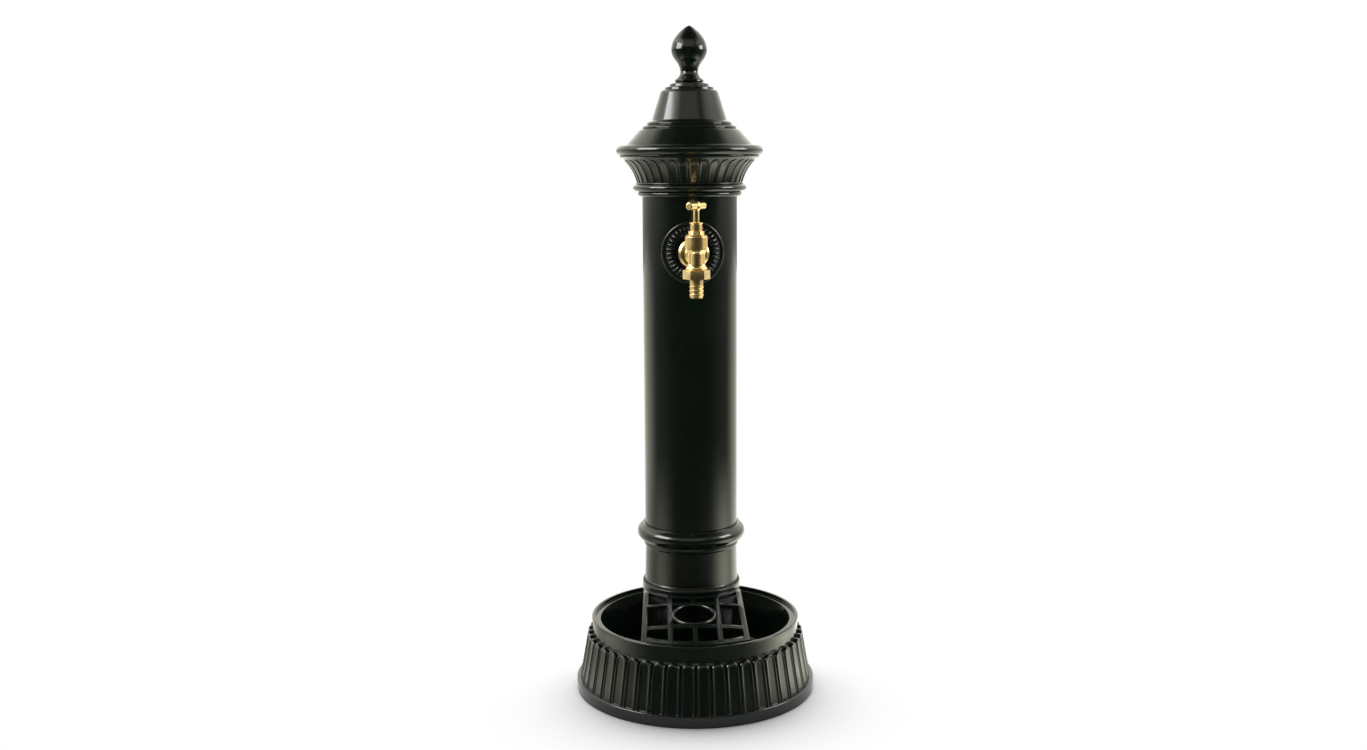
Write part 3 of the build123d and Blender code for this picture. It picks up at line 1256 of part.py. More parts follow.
# Bracket that holds the riser, screwed to the flange of the column base
with BuildPart() as pipe_bracket:
    with BuildSketch(Plane.XY.offset(FLANGE_TOP_Z)):
        with Locations((0, PIPE_Y)):
            Circle(BRACKET_EYE_R)
        with Locations((0, COLUMN_Y - SCREW_OFFSET)):
            Circle(BRACKET_WIDTH / 2)
        with Locations((0, COLUMN_Y - (PIPE_OFFSET + SCREW_OFFSET) / 2)):
            Rectangle(BRACKET_WIDTH, SCREW_OFFSET - PIPE_OFFSET)
        with Locations((0, PIPE_Y)):
            Circle(PIPE_R + THREAD_GAP, mode=Mode.SUBTRACT)
        with Locations((0, COLUMN_Y - SCREW_OFFSET)):
            Circle(SCREW_R + HOLE_GAP, mode=Mode.SUBTRACT)
    extrude(amount=BRACKET_THICKNESS)
pipe_bracket.part.label = "pipe_bracket"

bracket_top_z = FLANGE_TOP_Z + BRACKET_THICKNESS
with BuildPart() as bracket_screw:
    with BuildSketch(Plane.XY.offset(bracket_top_z)):
        with Locations((0, COLUMN_Y - SCREW_OFFSET)):
            Circle(SCREW_HEAD_R)
    extrude(amount=SCREW_HEAD)
    with BuildSketch(Plane.XY.offset(bracket_top_z)):
        with Locations((0, COLUMN_Y - SCREW_OFFSET)):
            Circle(SCREW_R)
    extrude(amount=-SCREW_LENGTH)
bracket_screw.part.label = "bracket_screw"

# Waste: flanged fitting through the floor, with strainer, washer and back nut
waste_top_z = FLOOR_Z + WASTE_FLANGE
with BuildPart() as basin_waste:
    with BuildSketch(Plane.XY.offset(FLOOR_Z)):
        with Locations((0, TAP_Y)):
            Circle(WASTE_FLANGE_R)
    extrude(amount=WASTE_FLANGE)
    with BuildSketch(Plane.XY.offset(WASTE_END_Z)):
        with Locations((0, TAP_Y)):
            Circle(WASTE_TAIL_R)
    extrude(amount=WASTE_TAIL_TOP_Z - WASTE_END_Z)
    with BuildSketch(Plane.XY.offset(WASTE_TAIL_TOP_Z)):
        with Locations((0, TAP_Y)):
            Circle(WASTE_THREAD_R)
    extrude(amount=FLOOR_Z - WASTE_TAIL_TOP_Z)
    with BuildSketch(Plane.XY.offset(WASTE_END_Z)):
        with Locations((0, TAP_Y)):
            Circle(WASTE_BORE_R)
    extrude(amount=waste_top_z - WASTE_END_Z, mode=Mode.SUBTRACT)
    with BuildSketch(Plane.XY.offset(waste_top_z)):
        with Locations((0, TAP_Y)):
            Circle(STRAINER_R + HOLE_GAP)
    extrude(amount=-STRAINER_THICKNESS, mode=Mode.SUBTRACT)
basin_waste.part.label = "basin_waste"

with BuildPart() as waste_strainer:
    with BuildSketch(Plane.XY.offset(waste_top_z)):
        with Locations((0, TAP_Y)):
            Circle(STRAINER_R)
            Circle(STRAINER_HOLE_R, mode=Mode.SUBTRACT)
            with PolarLocations(STRAINER_R / 3, 6):
                Circle(STRAINER_HOLE_R, mode=Mode.SUBTRACT)
            with PolarLocations(STRAINER_R / 3 * 2 - 1, 10):
                Circle(STRAINER_HOLE_R, mode=Mode.SUBTRACT)
    extrude(amount=-STRAINER_THICKNESS)
waste_strainer.part.label = "waste_strainer"

with BuildPart() as waste_washer:
    with BuildSketch(Plane.XY.offset(FLOOR_UNDER_Z)):
        with Locations((0, TAP_Y)):
            Circle(WASTE_FLANGE_R)
            Circle(WASTE_THREAD_R + THREAD_GAP, mode=Mode.SUBTRACT)
    extrude(amount=-WASTE_WASHER)
waste_washer.part.label = "waste_washer"

with BuildPart() as waste_nut:
    with BuildSketch(Plane.XY.offset(FLOOR_UNDER_Z - WASTE_WASHER)):
        with Locations((0, TAP_Y)):
            RegularPolygon(WASTE_NUT_AF / 2 * HEX_CORNER, 6)
            Circle(WASTE_THREAD_R + THREAD_GAP, mode=Mode.SUBTRACT)
    extrude(amount=-WASTE_NUT)
waste_nut.part.label = "waste_nut"

pieces = [
    basin,
    grate,
    column_seal,
    column_base,
    column_bolts,
    column_shaft,
    capital,
    roof_cap,
    finial,
    tie_rod,
    tie_strap,
    tie_washer,
    tie_nut,
    medallion,
    tap_flange,
    tap_body,
    bonnet_washer,
    tap_bonnet,
    gland_packing,
    gland_nut,
    jumper_nut,
    jumper_washer,
    jumper_valve,
    tap_spindle,
    handle_bar,
    union_washer,
    union_nut,
    hose_tail,
    shank_saddle,
    shank_locknut,
    wall_elbow,
    elbow_nut,
    supply_pipe,
    inlet_adapter,
    inlet_nut,
    pipe_bracket,
    bracket_screw,
    basin_waste,
    waste_strainer,
    waste_washer,
    waste_nut,
]
os.makedirs("parts", exist_ok=True)
for piece in pieces:
    export_step(piece.part, f"parts/{piece.part.label}.step")
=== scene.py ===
import json
from math import atan2, cos, hypot, pi, radians, sin, sqrt, tan

import bmesh
import bpy
from mathutils import Matrix, Vector
from mathutils.bvhtree import BVHTree


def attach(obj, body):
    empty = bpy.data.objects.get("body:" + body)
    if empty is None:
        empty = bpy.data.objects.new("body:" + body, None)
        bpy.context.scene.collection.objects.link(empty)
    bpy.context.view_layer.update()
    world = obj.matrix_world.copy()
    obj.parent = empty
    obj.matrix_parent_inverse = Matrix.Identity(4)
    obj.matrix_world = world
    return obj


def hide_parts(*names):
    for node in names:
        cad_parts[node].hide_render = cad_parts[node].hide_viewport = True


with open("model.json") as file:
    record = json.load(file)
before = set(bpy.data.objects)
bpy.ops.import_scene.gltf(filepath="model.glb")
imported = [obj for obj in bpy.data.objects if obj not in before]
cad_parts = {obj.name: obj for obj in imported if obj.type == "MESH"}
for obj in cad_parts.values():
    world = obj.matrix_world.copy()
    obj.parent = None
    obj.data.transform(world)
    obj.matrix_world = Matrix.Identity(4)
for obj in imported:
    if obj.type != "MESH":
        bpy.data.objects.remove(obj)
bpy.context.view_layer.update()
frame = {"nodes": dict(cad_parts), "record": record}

# Studio: the fountain stands on a white sweep and is seen from the photographer's standing point.
# The room is bright behind and beside it and dark towards the camera, with a softbox at each side.
# Gloss sees the room's own walls, a light high up in front, and a strip of light at each side.


def placed(name, data):
    """An object with the given data, put into the scene."""
    thing = bpy.data.objects.new(name, data)
    bpy.context.scene.collection.objects.link(thing)
    return thing


camera_data = bpy.data.cameras.new("studio_camera")
camera_data.sensor_width = 36
camera_data.lens = 36.63
camera = placed("studio_camera", camera_data)
camera.location = (-0.1613, -2.2613, 0.8715)
camera.rotation_euler = (radians(90 - 8.58), radians(0.28), radians(-3.682))
bpy.context.scene.camera = camera
bpy.context.scene.view_settings.view_transform = "Standard"


def span(tree, source, low, high):
    """How far a value has come from low to high, as a value from 0 to 1."""
    node = tree.nodes.new("ShaderNodeMapRange")
    node.inputs["From Min"].default_value = low
    node.inputs["From Max"].default_value = high
    tree.links.new(source, node.inputs["Value"])
    return node.outputs["Result"]


def ramp(tree, source, *stops):
    """A colour for a value, through the stops (place, level, warmth); warmth takes blue out."""
    node = tree.nodes.new("ShaderNodeValToRGB")
    tree.links.new(source, node.inputs["Fac"])
    marks = node.color_ramp.elements
    for k, (place, level, warmth) in enumerate((stops[0], stops[-1], *stops[1:-1])):
        mark = marks[k] if k < 2 else marks.new(place)
        mark.position = place
        mark.color = (level, level * (1 - 0.1 * warmth), level * (1 - warmth), 1)
    return node.outputs["Color"]


def blended(tree, mode, first, second, share=1.0):
    """Two colours put together by a blend mode; the share may be a value or a socket."""
    node = tree.nodes.new("ShaderNodeMix")
    node.data_type = "RGBA"
    node.blend_type = mode
    for label, source in (("Factor", share), ("A", first), ("B", second)):
        if isinstance(source, bpy.types.NodeSocket):
            tree.links.new(source, node.inputs[label])
        elif label == "Factor":
            node.inputs[label].default_value = source
        else:
            node.inputs[label].default_value = (*source, 1)
    return node.outputs["Result"]


# The room lights the fountain, shows other walls to gloss, and is white to the camera
world = bpy.data.worlds.new("studio_room")
bpy.context.scene.world = world
world.use_nodes = True
room = world.node_tree
room.nodes.clear()
room_way = room.nodes.new("ShaderNodeTexCoord")
room_axes = room.nodes.new("ShaderNodeSeparateXYZ")
room.links.new(room_way.outputs["Generated"], room_axes.inputs[0])
room_up = room_axes.outputs["Z"]
room_right = span(room, room_axes.outputs["X"], -1, 1)
room_far = span(room, room_axes.outputs["Y"], -1, 1)
room_plain = ramp(
    room, room_far, (0.0, 0.04, 0), (0.30, 0.22, 0), (0.5, 0.9, 0), (0.75, 3.1, 0), (1.0, 3.9, 0),
)
room_walls = ramp(
    room, room_far, (0.0, 0.06, 0), (0.18, 0.09, 0.1), (0.28, 0.30, 0.18), (0.37, 0.65, 0.18),
    (0.48, 1.0, 0.17), (0.61, 1.3, 0.15), (0.74, 1.5, 0.12), (1.0, 1.6, 0.12),
)
room_roof = ramp(
    room, span(room, room_up, -1, 1), (0.47, 0.28, 0), (0.53, 0.7, 0), (0.60, 1.0, 0), (0.87, 1.0, 0),
    (0.93, 0.12, 0),
)
room_round = blended(room, "MULTIPLY", room_walls, room_roof)
room_gap = ramp(room, room_right, (0.30, 1.0, 0), (0.40, 0.16, 0), (0.60, 0.16, 0), (0.70, 1.0, 0))
room_gap_high = ramp(room, room_up, (0.40, 0, 0), (0.52, 1, 0))
room_back = blended(room, "MIX", (1, 1, 1), room_gap, room_gap_high)
room_sides = blended(room, "MULTIPLY", room_round, room_back)
room_high = ramp(room, room_up, (0.22, 0, 0), (0.42, 0.80, 0.2), (0.70, 0.70, 0.2), (0.90, 0.03, 0))
room_across = ramp(room, room_right, (0.16, 0, 0), (0.28, 1, 0), (0.66, 1, 0), (0.80, 0, 0))
room_front = blended(room, "MULTIPLY", room_high, room_across)
room_flags = ramp(
    room, room_right, (0.0, 3.0, 0.1), (0.14, 2.8, 0.1), (0.29, 0, 0), (0.74, 0, 0), (0.88, 1.5, 0.1),
    (1.0, 1.7, 0.1),
)
room_band = ramp(room, room_up, (0.30, 0, 0), (0.46, 1, 0), (0.70, 0.9, 0), (0.86, 0, 0))
room_strips = blended(room, "MULTIPLY", room_flags, room_band)
room_mirror = blended(room, "LIGHTEN", blended(room, "LIGHTEN", room_sides, room_front), room_strips)
room_ray = room.nodes.new("ShaderNodeLightPath")
room_seen = blended(room, "MIX", room_plain, room_mirror, room_ray.outputs["Is Glossy Ray"])
room_white = blended(room, "MIX", room_seen, (1, 1, 1), room_ray.outputs["Is Camera Ray"])
room_light = room.nodes.new("ShaderNodeBackground")
room.links.new(room_white, room_light.inputs["Color"])
room_out = room.nodes.new("ShaderNodeOutputWorld")
room.links.new(room_light.outputs["Background"], room_out.inputs["Surface"])


def softbox(name, place, aim, width, height, power):
    """A flat studio lamp that faces the point aim and shows in gloss alone."""
    lamp = bpy.data.lights.new(name, "AREA")
    lamp.shape = "RECTANGLE"
    lamp.size = width
    lamp.size_y = height
    lamp.energy = power
    tripod = placed(name, lamp)
    tripod.location = place
    tripod.rotation_euler = (Vector(aim) - Vector(place)).to_track_quat("-Z", "Y").to_euler()
    tripod.visible_diffuse = False


softbox("softbox_left", place=(-2.25, -0.55, 1.75), aim=(0, 0, 0.85), width=1.6, height=1.1, power=62)
softbox("softbox_right", place=(2.3, -0.35, 1.45), aim=(0, 0, 0.75), width=1.2, height=0.9, power=34)


def worked(tree, operation, *sources, kind="ShaderNodeMath"):
    """A maths node that works on the given sockets."""
    node = tree.nodes.new(kind)
    node.operation = operation
    for k, source in enumerate(sources):
        tree.links.new(source, node.inputs[k])
    return node


# The sweep is white cloth near the foot, and fades into a white glow that gloss sees dimmer
SWEEP = 9
floor_mesh = bpy.data.meshes.new("floor")
floor_corners = [(-SWEEP, -SWEEP, 0), (SWEEP, -SWEEP, 0), (SWEEP, SWEEP, 0), (-SWEEP, SWEEP, 0)]
floor_mesh.from_pydata(floor_corners, [], [(0, 1, 2, 3)])
floor = placed("floor", floor_mesh)
floor_paper = bpy.data.materials.new("white_sweep")
floor_paper.use_nodes = True
paper = floor_paper.node_tree
paper.nodes.clear()
paper_place = paper.nodes.new("ShaderNodeTexCoord").outputs["Object"]
paper_reach = worked(paper, "LENGTH", paper_place, kind="ShaderNodeVectorMath").outputs["Value"]
paper_way = worked(paper, "NORMALIZE", paper_place, kind="ShaderNodeVectorMath").outputs["Vector"]
paper_axes = paper.nodes.new("ShaderNodeSeparateXYZ")
paper.links.new(paper_way, paper_axes.inputs[0])
paper_right = span(paper, paper_axes.outputs["X"], -1, 1)
paper_turn = span(paper, paper_axes.outputs["Y"], -1, 1)
paper_ray = paper.nodes.new("ShaderNodeLightPath").outputs
paper_seen = worked(paper, "MAXIMUM", paper_ray["Is Camera Ray"], paper_ray["Is Transmission Ray"])
paper_depth = ramp(
    paper, paper_turn, (0.0, 0.10, 0.1), (0.12, 0.12, 0.1), (0.20, 0.28, 0.18), (0.30, 0.80, 0.20),
    (0.40, 1.30, 0.20), (0.52, 1.35, 0.20), (0.62, 0.85, 0.18), (0.70, 0.65, 0.18), (0.80, 0.9, 0.16),
    (1.0, 1.1, 0.16),
)
paper_side = ramp(paper, paper_right, (0.62, 1.0, 0), (0.90, 2.3, 0))
paper_near = blended(paper, "MULTIPLY", paper_depth, paper_side)
paper_away = ramp(
    paper, paper_turn, (0.0, 0.03, 0.1), (0.15, 0.05, 0.1), (0.30, 0.14, 0.16), (0.45, 0.20, 0.20),
    (0.57, 0.28, 0.20), (0.66, 0.75, 0.18), (0.76, 1.25, 0.16), (1.0, 1.4, 0.16),
)
paper_mirror = blended(paper, "MIX", paper_near, paper_away, span(paper, paper_reach, 0.8, 1.8))
paper_tone = blended(paper, "MIX", paper_mirror, (1, 1, 1), paper_seen.outputs[0])
paper_glow = paper.nodes.new("ShaderNodeEmission")
paper.links.new(paper_tone, paper_glow.inputs["Color"])
paper_cloth = paper.nodes.new("ShaderNodeBsdfDiffuse")
paper_cloth.inputs["Color"].default_value = (0.78, 0.78, 0.79, 1)
fade_seen = worked(paper, "MULTIPLY", span(paper, paper_reach, 0.21, 0.40), paper_seen.outputs[0])
fade_gloss = worked(paper, "MULTIPLY", span(paper, paper_reach, 0.24, 0.36), paper_ray["Is Glossy Ray"])
paper_fade = worked(paper, "MAXIMUM", fade_seen.outputs[0], fade_gloss.outputs[0])
paper_mix = paper.nodes.new("ShaderNodeMixShader")
paper.links.new(paper_fade.outputs[0], paper_mix.inputs["Fac"])
paper.links.new(paper_cloth.outputs[0], paper_mix.inputs[1])
paper.links.new(paper_glow.outputs[0], paper_mix.inputs[2])
paper_out = paper.nodes.new("ShaderNodeOutputMaterial")
paper.links.new(paper_mix.outputs[0], paper_out.inputs["Surface"])
floor_mesh.materials.append(floor_paper)

# Basin: one iron casting with a foot band, a leaning skirt, a rim with an inner step, a bowl, four
# anchor bosses and a hollow pedestal that the column is bolted to. It is sprayed dark green.
# Sections are written in millimetres, as radius and height; places in the scene are in metres.
MM = 0.001
ROUND_STEPS = 5
ON_AXIS = 0.005
ROOM_FOR_ROUNDING = 0.46
SHARP = radians(38)
COLUMN_Y = 0.088
TAP_Y = -0.062
SKIRT_FOOT_R = 187.5
SKIRT_FOOT_Z = 19.5
SKIRT_TOP_R = 174.5
SKIRT_TOP_Z = 93


def rounded(corners, support=0.35):
    """Section through the given corners (radius, height, rounding); a plain pair stays as it is."""
    points = []
    count = len(corners)
    for k, corner in enumerate(corners):
        here = Vector(corner[:2])
        if len(corner) == 2:
            points.append(here)
            continue
        before = Vector(corners[k - 1][:2]) - here
        after = Vector(corners[(k + 1) % count][:2]) - here
        half = before.angle(after) / 2
        room_before = ROOM_FOR_ROUNDING * before.length
        room_after = ROOM_FOR_ROUNDING * after.length
        reach = min(corner[2] / tan(half), room_before, room_after)
        size = reach * tan(half)
        middle = here + (before.normalized() + after.normalized()).normalized() * (size / sin(half))
        first = here + before.normalized() * reach
        last = here + after.normalized() * reach
        if room_before > reach + support:
            points.append(first + before.normalized() * support)
        start = first - middle
        turn = start.angle_signed(last - middle)
        for step in range(ROUND_STEPS + 1):
            swing = -turn * step / ROUND_STEPS
            way = Vector((
                start.x * cos(swing) - start.y * sin(swing),
                start.x * sin(swing) + start.y * cos(swing),
            ))
            points.append(middle + way)
        if room_after > reach + support:
            points.append(last + after.normalized() * support)
    return [(p.x, p.y) for p in points]


def bow(start, through, end, steps=10):
    """Points of the arc from start through a middle point to end."""
    ax, ay = start
    bx, by = through
    cx, cy = end
    spread = 2 * (ax * (by - cy) + bx * (cy - ay) + cx * (ay - by))
    a_far = ax**2 + ay**2
    b_far = bx**2 + by**2
    c_far = cx**2 + cy**2
    middle_x = (a_far * (by - cy) + b_far * (cy - ay) + c_far * (ay - by)) / spread
    middle_y = (a_far * (cx - bx) + b_far * (ax - cx) + c_far * (bx - ax)) / spread
    size = hypot(ax - middle_x, ay - middle_y)
    first = atan2(ay - middle_y, ax - middle_x)
    halfway = atan2(by - middle_y, bx - middle_x)
    last = atan2(cy - middle_y, cx - middle_x)
    sweep = (last - first) % (2 * pi)
    if (halfway - first) % (2 * pi) > sweep:
        sweep = -((first - last) % (2 * pi))
    points = []
    for k in range(steps + 1):
        swing = first + sweep * k / steps
        points.append((middle_x + size * cos(swing), middle_y + size * sin(swing)))
    return points


def turned(section, segments=160, place=Matrix.Identity(4), closed=True):
    """Mesh data of a round piece, from its section in millimetres, turned about the place's Z axis."""
    points = []
    faces = []
    rings = []
    for radius, height in section:
        first = len(points)
        if radius < ON_AXIS:
            points.append(place @ Vector((0, 0, height * MM)))
            rings.append([first] * segments)
            continue
        for k in range(segments):
            swing = 2 * pi * k / segments
            spot = Vector((radius * MM * cos(swing), radius * MM * sin(swing), height * MM))
            points.append(place @ spot)
        rings.append(list(range(first, first + segments)))
    following = rings[1:] + rings[:1] if closed else rings[1:]
    for low, high in zip(rings, following):
        for k in range(segments):
            ahead = (k + 1) % segments
            corners = []
            for corner in (low[k], low[ahead], high[ahead], high[k]):
                if corner not in corners:
                    corners.append(corner)
            if len(corners) > 2:
                faces.append(corners)
    return points, faces


def joined(*shells):
    """Several closed shells as one set of mesh data."""
    points = []
    faces = []
    for shell_points, shell_faces in shells:
        first = len(points)
        points += shell_points
        faces += [[first + corner for corner in face] for face in shell_faces]
    return points, faces


def faced_outward(mesh):
    """Turns the mesh's faces outward."""
    work = bmesh.new()
    work.from_mesh(mesh)
    bmesh.ops.recalc_face_normals(work, faces=work.faces)
    work.to_mesh(mesh)
    work.free()


def mesh_of(name, shell, sharp=SHARP):
    """A mesh with outward faces, smooth except along edges sharper than the given angle."""
    mesh = bpy.data.meshes.new(name)
    mesh.from_pydata([tuple(p) for p in shell[0]], [], shell[1])
    faced_outward(mesh)
    mesh.shade_smooth()
    mesh.set_sharp_from_angle(angle=sharp)
    return mesh


def stand(name, mesh, finish, body, slot, *replaced):
    """Sets a finished mesh up as a piece of the body, in place of the CAD nodes that it stands for."""
    mesh.materials.clear()
    mesh.materials.append(finish)
    piece = placed(name, mesh)
    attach(piece, body)
    if replaced:
        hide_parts(*replaced)


def settled(piece):
    """The piece's mesh with its modifiers worked in; the piece itself is taken away."""
    bpy.context.view_layer.update()
    seen = piece.evaluated_get(bpy.context.evaluated_depsgraph_get())
    mesh = bpy.data.meshes.new_from_object(seen)
    bpy.data.objects.remove(piece)
    return mesh


def drilled(mesh, *cutters):
    """The mesh with holes of the given cutter shells."""
    blank = placed("blank", mesh)
    drill = placed("drill", mesh_of("drill", joined(*cutters)))
    cut = blank.modifiers.new("cut", "BOOLEAN")
    cut.object = drill
    cut.operation = "DIFFERENCE"
    cut.solver = "EXACT"
    result = settled(blank)
    bpy.data.objects.remove(drill)
    result.set_sharp_from_angle(angle=SHARP)
    return result


def plug(radius, low, high, segments, place):
    """A plain round plug, to drill a hole with."""
    return turned([(0, low), (radius, low), (radius, high), (0, high)], segments, place, False)


# The skin that sand castings keep: a faint ripple, a fine grain and cloudy patches of gloss
skin = bpy.data.node_groups.new("cast_skin", "ShaderNodeTree")
skin_starts = {"Grain Size": 700.0, "Grain Depth": 0.3, "Ripple Depth": 0.5, "Patch Size": 14.0}
for label, start in skin_starts.items():
    dial = skin.interface.new_socket(name=label, in_out="INPUT", socket_type="NodeSocketFloat")
    dial.default_value = start
skin.interface.new_socket(name="Patches", in_out="OUTPUT", socket_type="NodeSocketFloat")
skin.interface.new_socket(name="Normal", in_out="OUTPUT", socket_type="NodeSocketVector")
skin_in = skin.nodes.new("NodeGroupInput")
skin_out = skin.nodes.new("NodeGroupOutput")
skin_place = skin.nodes.new("ShaderNodeTexCoord")


def skin_noise(detail):
    """A noise on the piece's own place."""
    noise = skin.nodes.new("ShaderNodeTexNoise")
    noise.inputs["Detail"].default_value = detail
    skin.links.new(skin_place.outputs["Object"], noise.inputs["Vector"])
    return noise


def skin_bump(noise, depth, strength):
    """A bump of the noise, with its depth in metres and its strength from the group's input."""
    bump = skin.nodes.new("ShaderNodeBump")
    bump.inputs["Distance"].default_value = depth
    skin.links.new(noise.outputs["Fac"], bump.inputs["Height"])
    skin.links.new(skin_in.outputs[strength], bump.inputs["Strength"])
    return bump


grain = skin_noise(3)
skin.links.new(skin_in.outputs["Grain Size"], grain.inputs["Scale"])
ripple = skin_noise(1)
ripple.inputs["Scale"].default_value = 45
patch = skin_noise(4)
patch.inputs["Roughness"].default_value = 0.6
skin.links.new(skin_in.outputs["Patch Size"], patch.inputs["Scale"])
skin.links.new(span(skin, patch.outputs["Fac"], 0.42, 0.68), skin_out.inputs["Patches"])
grain_bump = skin_bump(grain, depth=0.0002, strength="Grain Depth")
ripple_bump = skin_bump(ripple, depth=0.0006, strength="Ripple Depth")
skin.links.new(grain_bump.outputs["Normal"], ripple_bump.inputs["Normal"])
skin.links.new(ripple_bump.outputs["Normal"], skin_out.inputs["Normal"])


def coated(name, shades, rough, metallic, grain, ripple):
    """A finish on the cast skin: two shades and two roughnesses, mixed by the skin's patches.

    The grain is given as its size and its depth, the ripple as its depth alone.
    """
    finish = bpy.data.materials.new(name)
    finish.use_nodes = True
    tree = finish.node_tree
    shader = tree.nodes["Principled BSDF"]
    shader.inputs["Metallic"].default_value = metallic
    surface = tree.nodes.new("ShaderNodeGroup")
    surface.node_tree = skin
    surface.inputs["Grain Size"].default_value = grain[0]
    surface.inputs["Grain Depth"].default_value = grain[1]
    surface.inputs["Ripple Depth"].default_value = ripple
    shade = blended(tree, "MIX", shades[0], shades[1], surface.outputs["Patches"])
    tree.links.new(shade, shader.inputs["Base Color"])
    gloss = tree.nodes.new("ShaderNodeMapRange")
    gloss.inputs["To Min"].default_value = rough[0]
    gloss.inputs["To Max"].default_value = rough[1]
    tree.links.new(surface.outputs["Patches"], gloss.inputs["Value"])
    tree.links.new(gloss.outputs["Result"], shader.inputs["Roughness"])
    tree.links.new(surface.outputs["Normal"], shader.inputs["Normal"])
    return finish


green_paint = coated(
    "green_paint",
    shades=((0.0036, 0.0084, 0.0048), (0.0050, 0.0108, 0.0064)),
    rough=(0.12, 0.17),
    metallic=0.0,
    grain=(900, 0.05),
    ripple=0.08,
)

shell_section = rounded([
    (181, 0, 0.6),
    (200, 0, 1.0),
    (200, 19.5, 2.6),
    (SKIRT_FOOT_R, SKIRT_FOOT_Z, 1.0),
    (SKIRT_TOP_R, SKIRT_TOP_Z, 2.0),
    (172.8, 97, 2.0),
    (172.8, 108, 20),
    (173.6, 118, 20),
    (173.6, 123.3, 2.0),
    (168.2, 123.3, 1.2),
    (168.2, 118.3, 0.5),
    (159.5, 118.3, 1.6),
    (132, 59),
    *bow((132, 59), (126, 52.6), (118, 50), 6)[1:-1],
    (118, 50),
    (0, 50),
    (0, 43.5),
    (120, 43.5),
    (138, 56),
    (161.5, 104.3),
    (166.3, 104.3),
    (168, 93),
])
PEDESTAL = Matrix.Translation((0, COLUMN_Y, 0))
pedestal_section = rounded([
    (60, 157, 0.5),
    (84.6, 157, 1.4),
    (84.6, 43.5, 0.5),
    (77, 43.5, 0.5),
    (77, 149, 1.0),
    (60, 149, 0.5),
])
LEDGE_STEPS = 40
LEDGE_SWING = radians(58)
ledge_row = LEDGE_STEPS + 1
ledge_points = []
for height in (144.14, 137.14):
    for radius in (84.0, 90.1):
        for k in range(ledge_row):
            swing = -pi / 2 + LEDGE_SWING * (2 * k / LEDGE_STEPS - 1)
            across = radius * MM * cos(swing)
            ledge_points.append(Vector((across, COLUMN_Y + radius * MM * sin(swing), height * MM)))
ledge_faces = []
for first_row, next_row in ((0, 1), (1, 3), (3, 2), (2, 0)):
    for k in range(LEDGE_STEPS):
        here = first_row * ledge_row + k
        there = next_row * ledge_row + k
        ledge_faces.append([here, here + 1, there + 1, there])
for k in (0, LEDGE_STEPS):
    ledge_faces.append([row * ledge_row + k for row in (0, 1, 3, 2)])
BOSS_X = 0.088
BOSS_Y = 0.037
boss_section = rounded([(6, 0, 0.3), (12, 0, 0.6), (12, 44, 0.3), (6, 44, 0.3)])
bosses = []
drills = [plug(radius=77, low=-1, high=149, segments=96, place=PEDESTAL)]
for x in (-BOSS_X, BOSS_X):
    for y in (-BOSS_Y, BOSS_Y):
        boss = Matrix.Translation((x, y, 0))
        bosses.append(turned(boss_section, 40, boss))
        drills.append(plug(radius=6, low=40, high=60, segments=40, place=boss))
waste_place = Matrix.Translation((0, TAP_Y, 0))
drills.append(plug(radius=20.5, low=40, high=60, segments=64, place=waste_place))
shell_mesh = drilled(mesh_of("basin_shell", turned(shell_section, 240)), *drills)
stand("basin_shell", shell_mesh, green_paint, "fountain", "green_paint", "basin")
fittings_mesh = mesh_of("basin_fittings", joined(
    turned(pedestal_section, 160, PEDESTAL),
    (ledge_points, ledge_faces),
    *bosses,
))
stand("basin_fittings", fittings_mesh, green_paint, "fountain", "green_paint")

# Skirt flutes: arched panels with a raised rounded frame, of the same iron and cast in one with the
# skirt, open at the foot band. One flute is shaped on the leaning skirt, and the ring repeats it.
ring = bpy.data.node_groups.new("ring_of_pieces", "GeometryNodeTree")
ring.interface.new_socket(name="Geometry", in_out="INPUT", socket_type="NodeSocketGeometry")
ring.interface.new_socket(name="Count", in_out="INPUT", socket_type="NodeSocketInt")
ring.interface.new_socket(name="Centre", in_out="INPUT", socket_type="NodeSocketVector")
ring.interface.new_socket(name="Finish", in_out="INPUT", socket_type="NodeSocketMaterial")
ring.interface.new_socket(name="Geometry", in_out="OUTPUT", socket_type="NodeSocketGeometry")
ring_in = ring.nodes.new("NodeGroupInput")
ring_out = ring.nodes.new("NodeGroupOutput")
ring_back = worked(ring, "SCALE", ring_in.outputs["Centre"], kind="ShaderNodeVectorMath")
ring_back.inputs["Scale"].default_value = -1
ring_centred = ring.nodes.new("GeometryNodeTransform")
ring.links.new(ring_in.outputs["Geometry"], ring_centred.inputs["Geometry"])
ring.links.new(ring_back.outputs["Vector"], ring_centred.inputs["Translation"])
ring_posts = ring.nodes.new("GeometryNodeMeshLine")
ring_posts.inputs["Offset"].default_value = (0, 0, 0)
ring.links.new(ring_in.outputs["Count"], ring_posts.inputs["Count"])
ring.links.new(ring_in.outputs["Centre"], ring_posts.inputs["Start Location"])
ring_number = ring.nodes.new("GeometryNodeInputIndex")
ring_share = worked(ring, "DIVIDE", ring_number.outputs[0], ring_in.outputs["Count"])
ring_turn = worked(ring, "MULTIPLY", ring_share.outputs[0])
ring_turn.inputs[1].default_value = 2 * pi
ring_swing = ring.nodes.new("ShaderNodeCombineXYZ")
ring.links.new(ring_turn.outputs[0], ring_swing.inputs["Z"])
ring_set = ring.nodes.new("GeometryNodeInstanceOnPoints")
ring.links.new(ring_posts.outputs["Mesh"], ring_set.inputs["Points"])
ring.links.new(ring_centred.outputs["Geometry"], ring_set.inputs["Instance"])
ring.links.new(ring_swing.outputs[0], ring_set.inputs["Rotation"])
ring_real = ring.nodes.new("GeometryNodeRealizeInstances")
ring.links.new(ring_set.outputs["Instances"], ring_real.inputs[0])
